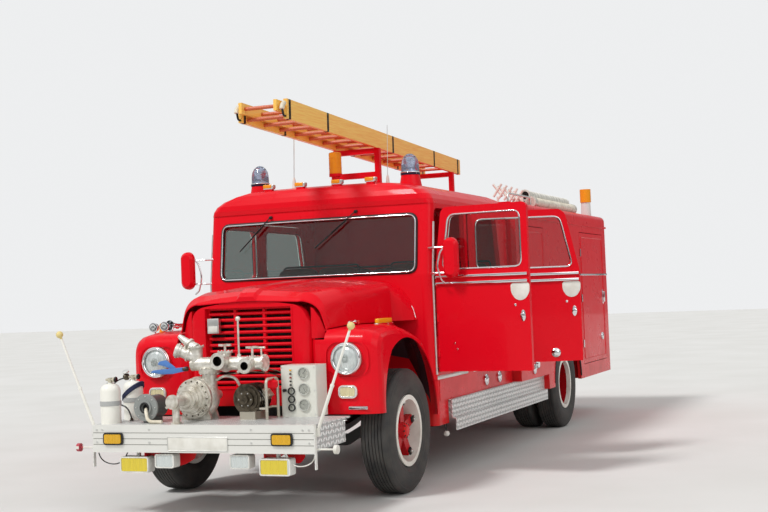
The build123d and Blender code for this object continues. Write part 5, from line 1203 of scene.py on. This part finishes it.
class ENGINE_OT_cabin(bpy.types.Operator):
    """Padded seats, mats, the dashboard's dials and the pedals"""

    bl_idname = "engine.cabin"
    bl_label = "Cabin"

    def execute(self, context):
        # between neighbouring pads, on each of them
        gap = 0.004
        # seats: name, length, middle, width, number of pads side by side
        for word, x, y, wide, pads in (("driver", -1.120, 0.560, 0.560, 1),
                                       ("mate", -1.120, -0.430, 0.860, 2),
                                       ("crew", -2.290, 0.0, 1.900, 3)):
            right, left, span = y - wide / 2, y + wide / 2, wide / pads
            block(f"{word}_seat_box", (x - 0.480, right + 0.03, 0.902),
                  (x - 0.060, left - 0.03, 1.190), 0.012, "red")
            lean = Matrix.Rotation(radians(-9), 4, "Y")
            lean.translation = at(x - 0.470, 0, 1.300)
            for k in range(pads):
                low, high = right + k * span + gap, right + (k + 1) * span - gap
                pad = cushion(f"{word}_cushion_{k}", (x - 0.400, low, 1.184),
                              (x + 0.004, high, 1.342), "leather")
                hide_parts("seats")
                back = cushion(f"{word}_back_{k}", (-0.060, low, 0.020), (0.060, high, 0.590),
                               "leather", lean)
            staple(f"{word}_seat_rail", (x - 0.555, right + 0.02, 1.240), (-0.055, 0, 0.660),
                   (x - 0.555, left - 0.02, 1.240), 0.010, "black", 0.05)
        for word, rear, front in (("front", -1.560, -0.780), ("crew", -2.880, -1.640)):
            block(f"{word}_mat", (rear, -1.020, CAB_FLOOR), (front, 1.020, CAB_FLOOR + 0.007),
                  0.003, "mat")
        # dashboard: three dials before the driver, knobs, lid and grab rail
        for k, (y, radius) in enumerate(((0.470, 0.042), (0.580, 0.052), (0.690, 0.042))):
            z, inner = 1.565, radius - 0.009
            turned(f"dash_dial_{k}", (-1.008, y, z), BACK,
                   ((0, radius), (0.006, radius), (0.010, radius - 0.004), (0.010, radius - 0.008),
                    (0.006, inner)), "chrome", 32)
            turned(f"dash_dial_face_{k}", (-1.0145, y, z), BACK, ((0, inner), (0.0012, inner)),
                   "face", 32)
            rod(f"dash_dial_hand_{k}", [(-1.0165, y, z), (-1.0165, y + 0.02, z + radius * 0.5)],
                0.0012, "seal")
        studs("dash_knobs", [(-1.016, y, 1.530) for y in (0.10, 0.16, 0.22, 0.28)], BACK, 0.012,
              0.022, "ebonite", 16)
        block("dash_lid", (-1.0145, -0.640, 1.515), (-1.008, -0.280, 1.605), 0.003, "red")
        staple("dash_grab_rail", (-1.000, -0.780, 1.640), (-0.030, 0, 0), (-1.000, -0.180, 1.640),
               0.009, "chrome", 0.02)
        for k, y in enumerate((0.430, 0.560, 0.690)):
            block(f"pedal_{k}", (-0.905, y - 0.032, 1.010), (-0.893, y + 0.032, 1.090), 0.004,
                  "mat")
            rod(f"pedal_arm_{k}", [(-0.893, y, 1.050), (-0.840, y, 1.090), (-0.780, y, 1.280)],
                0.007, "black", soft=0.03)
        rod("gear_lever", [(-0.960, 0.180, 0.905), (-1.000, 0.190, 1.150), (-1.060, 0.200, 1.340)],
            0.008, "chrome", soft=0.06)
        turned("gear_knob", (-1.060, 0.200, 1.330), UP,
               ((0, 0.010), (0.008, 0.021), (0.022, 0.026), (0.036, 0.021), (0.043, 0.010)),
               "ebonite", 20)
        return {"FINISHED"}


class ENGINE_OT_roof(bpy.types.Operator):
    """Roof lamps, antennas, the ladder's pads and iron work, hose ends and the white rack"""

    bl_idname = "engine.roof"
    bl_label = "Roof"

    def execute(self, context):
        self.lamps_and_antennas()
        self.ladder()
        self.hoses()
        self.rack_and_rails()
        return {"FINISHED"}

    def lamps_and_antennas(self):
        """Lamps over the windscreen, two antennas, three beacons"""
        for k, y in enumerate((-0.510, -0.190, 0.175, 0.501)):
            lamp = f"brow_lamp_{k}"
            block(f"{lamp}_base", (-0.868, y - 0.048, 2.603), (-0.812, y + 0.048, 2.612), 0.003,
                  "chrome")
            block(f"{lamp}_lens", (-0.867, y - 0.052, 2.611), (-0.813, y + 0.034, 2.646), 0.008,
                  "orange", steps=3)
            block(f"{lamp}_end", (-0.867, y + 0.030, 2.611), (-0.813, y + 0.054, 2.644), 0.006,
                  "board")
        for word, x, y, top, radius in (("right", -0.995, -0.330, 3.225, 0.0035),
                                        ("left", -1.420, 0.430, 3.180, 0.0030)):
            turned(f"antenna_{word}_base", (x, y, 2.560), UP,
                   ((0, 0.032), (0.030, 0.030), (0.060, 0.020), (0.120, 0.014), (0.150, 0.008)),
                   "tin", 20)
            rod(f"antenna_{word}", [(x, y, 2.690), (x - 0.02, y, 2.95), (x - 0.04, y, top)],
                radius, "board", soft=0.2)
        for word, hand in SIDES:
            x, y = -1.150, hand * 0.760
            turned(f"beacon_{word}_reflector", (x, y, 2.690), UP,
                   ((0, 0.052), (0.012, 0.050), (0.020, 0.030), (0.050, 0.026), (0.092, 0.040),
                    (0.118, 0.036), (0.130, 0.020), (0.132, 0.006)), "chrome")
            hoop(f"beacon_{word}_band", (x, y, 2.689), UP, 0.0845, 40, 0.005, "chrome")
            studs(f"beacon_{word}_screws", ring_of((x, y, 2.677), UP, 0.0885, 3), FORWARD, 0.004,
                  0.003, "board", 8)
        for k in range(4):
            hoop(f"amber_beacon_ring_{k}", (-1.200, 0, 2.745 + 0.045 * k), UP, 0.058, 32, 0.0022,
                 "orange")
        turned("amber_beacon_cap", (-1.200, 0, 2.924), UP,
               ((0, 0.058), (0.008, 0.052), (0.014, 0.030)), "orange", 32)

    def ladder(self):
        """Iron straps and bolts of the ladder, and the padded hooks at its front end"""
        tilt = radians(2.1)
        base = stand_at((-1.720, 0, 3.005), (cos(tilt), 0, sin(tilt)), LEFT)
        straps = (1.900, 1.150, -0.380, -1.560, -2.330)
        for word, hand in SIDES:
            for k, x in enumerate(straps):
                block(f"ladder_strap_{word}_{k}", (x - 0.020, hand * 0.1925, -0.0010),
                      (x + 0.020, hand * 0.2285, 0.1655), 0.002, "iron", stand=base)
            studs(f"ladder_bolts_{word}", [(x, hand * 0.229, z) for x in straps
                                           for z in (0.035, 0.13)], LEFT, 0.007, 0.006, "iron",
                  stand=base)
            rail = hand * 0.210
            rod(f"ladder_hook_{word}", [(x, rail, z) for x, z in (
                (1.948, 0.020), (1.985, 0.020), (2.010, 0.080), (1.975, 0.125))],
                0.009, "iron", soft=0.03, stand=base)
            rod(f"ladder_pad_{word}", [(x, rail, z) for x, z in (
                (2.012, 0.070), (2.004, 0.100), (1.970, 0.128))],
                0.021, "cream", soft=0.02, sides=4, stand=base)

    def hoses(self):
        """Spiral ribs and couplings of the two hoses, and a third one in the hollow between"""
        turns, each = 60, 14
        rear, length, height, wind = -5.98, 1.66, 2.562, 0.0545
        for k, y in enumerate((1.010, 0.860)):
            spiral = []
            for n in range(turns * each + 1):
                turn = 2 * pi * n / each
                spiral.append((rear + length * n / (turns * each), y + wind * cos(turn),
                               height + wind * sin(turn)))
            rod(f"hose_rib_{k}", spiral, 0.0035, "cream", sides=1)
            for word, x in (("front", -4.298), ("rear", -6.098)):
                turned(f"hose_{word}_coupling_{k}", (x, y, height), FORWARD,
                       ((0, 0.0625), (0.012, 0.0655), (0.030, 0.0655), (0.042, 0.0625),
                        (0.060, 0.0625), (0.066, 0.0655), (0.090, 0.0655), (0.096, 0.0625)),
                       "cast", 32, angle=30)
        y, z = 0.935, 2.643
        turned("upper_hose", (-6.050, y, z), FORWARD,
               ((0.0, 0.054), (1.760, 0.054), (1.764, 0.0640), (1.776, 0.0660), (1.800, 0.0660),
                (1.806, 0.0640), (1.806, 0.0460), (1.760, 0.0440)), "hose", 32, angle=40)
        # a black disc deep in the hose's mouth: painted shade inside its bore
        turned("upper_hose_bore", (-4.305, y, z), FORWARD, ((0.0, 0.0455), (0.020, 0.0455)),
               "seal", 32)
        for k in range(14):
            hoop(f"upper_hose_ring_{k}", (-6.000 + 0.120 * k, y, z), FORWARD, 0.054, 24, 0.005,
                 "tin", 2)

    def rack_and_rails(self):
        """White folding lattice before the hoses, on two legs, and the roof's two rails"""
        x, foot, high = -4.120, 2.640, 2.780
        rack = [((x, y, 2.470), (x, y, foot)) for y in (0.660, 0.940)]
        for k in range(5):
            y, drop = 0.610 + 0.060 * k, 0.022 * k
            rack.append(((x, y, foot - drop), (x, y + 0.100, high - drop)))
            rack.append(((x - 0.008, y + 0.100, foot - drop), (x - 0.008, y, high - drop)))
        for k, ends in enumerate(rack):
            rod(f"rack_bar_{k}", ends, 0.0130, "tin")
        for word, hand in SIDES:
            y = hand * 1.090
            staple(f"roof_rail_{word}", (-3.060, y, 2.470), (0, 0, 0.120), (-3.900, y, 2.470),
                   0.011, "board", 0.05)


class ENGINE_OT_sides(bpy.types.Operator):
    """Mirrors' glass, bright strips on jambs, sills, skirts and the long body's side"""

    bl_idname = "engine.sides"
    bl_label = "Sides"

    def execute(self, context):
        for word, hand in SIDES:
            self.cab_side(word, hand)
            self.skirt(word, hand)
            self.body_side(word, hand)
        return {"FINISHED"}

    def cab_side(self, word, hand):
        """Mirror's glass and stay, and the strips on the front pillar and the sills"""
        glass = [(hand * 1.286 + y, 1.890 + z)
                 for y, z in oblong(-0.052, -0.155, 0.052, 0.155, 0.052, 7)]
        plate(f"mirror_glass_{word}", glass, -0.0012, 0.0, 0, "mirror", stand=facing(-0.6684))
        rod(f"mirror_stay_{word}", mirrored(
            hand, (-0.676, 1.228, 1.990), (-0.672, 1.185, 1.950), (-0.670, 1.150, 1.830),
            (-0.672, 1.185, 1.700), (-0.676, 1.228, 1.670)), 0.0075, "chrome", soft=0.05)
        rod(f"pillar_strip_{word}", mirrored(
            hand, (-0.7300, 1.0880, 0.895), (-0.7300, 1.0880, 1.740), (-0.7965, 1.0875, 2.215)),
            0.0115, "board", soft=0.02)
        for name, rear, front in (("sill_strip", -1.560, -0.740),
                                  ("crew_sill_strip", -2.920, -1.720)):
            block(f"{name}_{word}", (rear, hand * (CAB_HALF - 0.004), 0.848),
                  (front, hand * (CAB_HALF + 0.0045), 0.884), 0.004, "board")

    def skirt(self, word, hand):
        """Round bright caps along the skirt, and the round knob on its two thin rods"""
        for k, (x, y, z, size) in enumerate((
                (-2.080, CAB_HALF, 0.750, 0.056), (-2.500, CAB_HALF, 0.750, 0.056),
                (-3.453, BODY_HALF, 0.755, 0.054), (-6.690, BODY_HALF, 0.960, 0.048))):
            steps = ((-0.003, 1.0), (0.010, 1.0), (0.016, 0.92), (0.019, 0.72), (0.016, 0.66),
                     (0.019, 0.60), (0.023, 0.30), (0.023, 0.10))
            turned(f"skirt_cap_{word}_{k}", (x, hand * y, z), (0, hand, 0),
                   [(start, size * share) for start, share in steps], "chrome", 32)
        turned(f"feeler_knob_{word}", (-0.994, hand * 1.060, 0.362), DOWN,
               ((-0.024, 0.008), (-0.018, 0.020), (0.0, 0.028), (0.018, 0.020), (0.024, 0.008)),
               "tin", 20)
        for k, x in enumerate((-1.030, -0.958)):
            rod(f"feeler_rod_{word}_{k}", [(x, hand * 1.050, 0.470), (-0.994, hand * 1.058, 0.372)],
                0.004, "black")

    def body_side(self, word, hand):
        """The long body's moulding, locker doors, step bolts, arch edging and filler"""
        out = (0, hand, 0)
        inner, outer = hand * (BODY_HALF - 0.002), hand * (BODY_HALF + 0.010)
        low, high = MOULDING_Z - MOULDING_HALF, MOULDING_Z + MOULDING_HALF
        # the moulding is split where the lockers' doors swing
        for k, (rear, front) in enumerate(((-3.084, -3.000), (-5.674, -4.056),
                                           (BODY_REAR + 0.010, -6.936))):
            block(f"body_moulding_{word}_{k}", (rear, inner, low), (front, outer, high), 0.004,
                  "chrome")
        for name, front, long, foot, top in LOCKERS:
            door, rear = f"{name}_door_{word}", front - long
            block(f"{door}_moulding", (rear + 0.012, inner, low), (front - 0.012, outer, high),
                  0.004, "chrome", door)
            grip = rear + 0.090
            block(f"{door}_grip", (grip - 0.019, hand * BODY_HALF, 1.392),
                  (grip + 0.019, hand * (BODY_HALF + 0.0245), 1.528), 0.007, "chrome", door,
                  steps=3)
            plate(f"{door}_grip_plate", oblong(grip - 0.036, 1.368, grip + 0.036, 1.552, 0.03),
                  -0.003, 0.003, 0.001, "chrome", door, beside(hand * (BODY_HALF + 0.001)))
            # pressed swage round the door, as a raised bead
            bead = oblong(rear + 0.060, foot + 0.060, front - 0.060, top - 0.060, 0.05)
            rod(f"{door}_bead", [(x, hand * (BODY_HALF - 0.0005), z) for x, z in bead], 0.006,
                "red", closed=True, sides=2, body=door)
            studs(f"{door}_hinges", [(front - 0.014, hand * (BODY_HALF + 0.006), z)
                                     for z in (foot + 0.25, (foot + top) / 2, top - 0.25)],
                  UP, 0.009, 0.090, "chrome", 16)
        # bolts of the step's brackets, named by their distance from the axle in centimetres
        for station in (120, 240, 360):
            studs(f"board_bolts_{word}_{station}", [(-station / 100 + shift, hand * 1.1565, z)
                                                    for shift in (-0.10, 0.10)
                                                    for z in (0.420, 0.470)],
                  out, 0.008, 0.006, "board", 12)
        # rubber edging of the wheel arch
        reach = 0.6115
        arch = [(-WHEELBASE + reach * cos(t), hand * (BODY_HALF + 0.0005), TYRE_R + reach * sin(t))
                for t in (radians(4 + 172 * k / 40) for k in range(41))]
        rod(f"arch_edging_{word}", arch, 0.009, "seal")
        turned(f"filler_{word}", (-3.560, inner, 0.800), out,
               ((0, 0.052), (0.010, 0.052), (0.014, 0.044), (0.026, 0.042), (0.032, 0.034)),
               "chrome", 32)


class ENGINE_OT_rear(bpy.types.Operator):
    """Tail lamps, blank plate, grab rails, rungs, the door's trim and the step's tread"""

    bl_idname = "engine.rear"
    bl_label = "Rear"

    def execute(self, context):
        # just inside the rear face, where each foot stands
        root = BODY_REAR + 0.002
        for word, hand in SIDES:
            for k, (z, finish) in enumerate(((0.900, "ruby"), (0.790, "orange"), (0.680, "lens"))):
                lamp = f"tail_lamp_{word}_{k}"
                turned(f"{lamp}_case", (root, hand * 1.080, z), BACK,
                       ((0, 0.048), (0.014, 0.048), (0.018, 0.044), (0.018, 0.041)), "chrome", 32)
                turned(f"{lamp}_lens", (BODY_REAR - 0.015, hand * 1.080, z), BACK,
                       ((0, 0.041), (0.006, 0.040), (0.012, 0.032), (0.014, 0.012)), finish, 32)
            turned(f"rear_reflector_{word}", (root, hand * 0.960, 0.680), BACK,
                   ((0, 0.040), (0.006, 0.040), (0.008, 0.034), (0.009, 0.012)), "ruby")
            y, low, high = hand * 0.900, 1.150, 1.900
            staple(f"rear_grab_{word}", (root, y, low), (-0.062, 0, 0), (root, y, high), 0.014,
                   "chrome", 0.05)
            for k, z in enumerate((low, high)):
                turned(f"rear_grab_{word}_foot_{k}", (root, y, z), BACK,
                       ((0, 0.030), (0.006, 0.030), (0.010, 0.020)), "chrome")
        # rungs up to the roof on the right
        for k, z in enumerate((0.900, 1.200, 1.500, 1.800, 2.100, 2.380)):
            staple(f"roof_rung_{k}", (root, -1.130, z), (-0.077, 0, 0), (root, -0.960, z), 0.010,
                   "board", 0.03)
        plate("rear_blank_plate", oblong(-0.260, 0.800, 0.260, 0.920, 0.01), 0.001, 0.005, 0.001,
              "tin", stand=stand_at((BODY_REAR, 0, 0), (0, -1, 0), UP))
        rod("rear_plate_rim", on_face(BODY_REAR - 0.004, oblong(-0.264, 0.796, 0.264, 0.924, 0.01)),
            0.004, "board", closed=True, sides=2)
        block("rear_plate_lamp", (BODY_REAR - 0.030, -0.050, 0.935), (root, 0.050, 0.965), 0.006,
              "chrome")
        # rear door: bead, handle and a strip at its foot
        bead = oblong(-0.690, 1.220, 0.690, 2.180, 0.06)
        rod("rear_door_bead", on_face(BODY_REAR - 0.0005, bead), 0.006, "red", closed=True,
            sides=2, body="rear_door")
        foot = BODY_REAR - 0.002
        staple("rear_door_grip", (foot, -0.062, 1.230), (-0.032, 0, 0), (foot, 0.062, 1.230),
               0.010, "chrome", 0.015, "rear_door")
        block("rear_door_strip", (BODY_REAR - 0.006, -0.735, 1.163), (root, 0.735, 1.183), 0.002,
              "chrome", "rear_door")
        block("rear_step_tread", (BODY_REAR - 0.186, -0.945, 0.4985),
              (BODY_REAR - 0.004, 0.945, 0.5035), 0.002, "tread")
        return {"FINISHED"}


class ENGINE_OT_stage(bpy.types.Operator):
    """Pale floor, soft light and the camera at the photograph's angle"""

    bl_idname = "engine.stage"
    bl_label = "Stage"

    def execute(self, context):
        self.lay_floor(context)
        self.light_room(context.scene)
        self.place_camera(context.scene)
        return {"FINISHED"}

    def lay_floor(self, context):
        """A wide floor of faintly mottled pale concrete"""
        bpy.ops.object.select_all(action="DESELECT")
        bpy.ops.mesh.primitive_plane_add(size=2 * context.scene.engine_sizes.floor_half)
        floor = context.object
        floor.name = "floor"
        made, tree, shader, place = start_finish("pale_floor", {"Roughness": 0.9})
        shade(tree, shader, mottle(tree, place, 1.4, 0.3, 0.7), "#DDDCD9", "#D6D5D1")
        floor.data.materials.append(made)

    def light_room(self, scene):
        """An even sky and two wide suns; gloss sees dark walls low down, a bright ceiling"""
        world = bpy.data.worlds.new("studio")
        scene.world = world
        world.use_nodes = True
        tree = world.node_tree
        tree.nodes.clear()
        rays = add_node(tree, "ShaderNodeLightPath").outputs
        seen = add_node(tree, "ShaderNodeMath", {0: rays["Is Camera Ray"],
                                                 1: rays["Is Transmission Ray"]}, use_clamp=True)
        strength = add_node(tree, "ShaderNodeMapRange",
                            {"Value": seen, "To Min": 0.62, "To Max": 0.95})
        look = add_node(tree, "ShaderNodeTexCoord").outputs["Generated"]
        height = add_node(tree, "ShaderNodeSeparateXYZ", {0: look}).outputs[2]
        ceiling = add_node(tree, "ShaderNodeMapRange", {"Value": height, "From Min": 0.10,
                                                        "From Max": 0.55, "To Min": 0.22})
        shown = add_node(tree, "ShaderNodeMix", {0: rays["Is Glossy Ray"], 2: strength,
                                                 3: ceiling})
        glow = add_node(tree, "ShaderNodeBackground",
                        {"Color": colour("#F3F4F5"), "Strength": shown})
        add_node(tree, "ShaderNodeOutputWorld", {"Surface": glow.outputs[0]})
        # suns: name, power, apparent width and the three turns in degrees
        for name, power, width, turns in (("key", 1.9, 12, (38, 0, 62)),
                                          ("fill", 0.5, 40, (62, 0, 150))):
            lamp = bpy.data.lights.new(name, "SUN")
            lamp.energy = power
            lamp.angle = radians(width)
            sun = bpy.data.objects.new(name, lamp)
            sun.rotation_euler = [radians(a) for a in turns]
            scene.collection.objects.link(sun)

    def place_camera(self, scene):
        """The camera fitted to the photograph: its place from the axle and its three turns"""
        stand_point = at(9.7843, 4.9289, 1.6024)
        yaw, pitch, roll = 0.3871, 0.0294, -0.0403
        ahead = Vector((-cos(yaw) * cos(pitch), -sin(yaw) * cos(pitch), sin(pitch)))
        level = ahead.cross(Vector(UP)).normalized()
        upright = level.cross(ahead)
        right = cos(roll) * level + sin(roll) * upright
        up = -sin(roll) * level + cos(roll) * upright
        eye = bpy.data.cameras.new("camera")
        eye.lens = scene.engine_sizes.lens
        eye.sensor_width = 36
        camera = bpy.data.objects.new("camera", eye)
        turn = Matrix((right, up, -ahead)).transposed().to_4x4()
        camera.matrix_world = Matrix.Translation(stand_point) @ turn
        scene.collection.objects.link(camera)
        scene.camera = camera
        scene.view_settings.view_transform = "Standard"


# in the order in which main() runs them
OPERATORS = (
    ENGINE_OT_stage, ENGINE_OT_finishes, ENGINE_OT_windows, ENGINE_OT_doors, ENGINE_OT_tyres,
    ENGINE_OT_pump, ENGINE_OT_nose, ENGINE_OT_cabin, ENGINE_OT_roof, ENGINE_OT_sides,
    ENGINE_OT_rear,
)


class ENGINE_PT_panel(bpy.types.Panel):
    """Lists the steps that dress the fire engine"""

    bl_idname = "ENGINE_PT_panel"
    bl_label = "Fire engine"
    bl_space_type = "VIEW_3D"
    bl_region_type = "UI"
    bl_category = "Fire engine"

    def draw(self, context):
        column = self.layout.column()
        for group in (context.scene.engine_colours, context.scene.engine_sizes):
            for name in group.__annotations__:
                column.prop(group, name)
        for operator in OPERATORS:
            column.operator(operator.bl_idname)


CLASSES = (EngineColours, EngineSizes, *OPERATORS, ENGINE_PT_panel)


def register():
    """Registers the classes and the two groups of settings."""
    for cls in CLASSES:
        bpy.utils.register_class(cls)
    bpy.types.Scene.engine_colours = bpy.props.PointerProperty(type=EngineColours)
    bpy.types.Scene.engine_sizes = bpy.props.PointerProperty(type=EngineSizes)


def unregister():
    """Takes the add-on out again."""
    del bpy.types.Scene.engine_colours
    del bpy.types.Scene.engine_sizes
    for cls in reversed(CLASSES):
        bpy.utils.unregister_class(cls)


def main():
    """Registers the add-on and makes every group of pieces."""
    register()
    for operator in OPERATORS:
        getattr(bpy.ops.engine, operator.bl_idname.split(".")[1])()


if __name__ == "__main__":
    main()
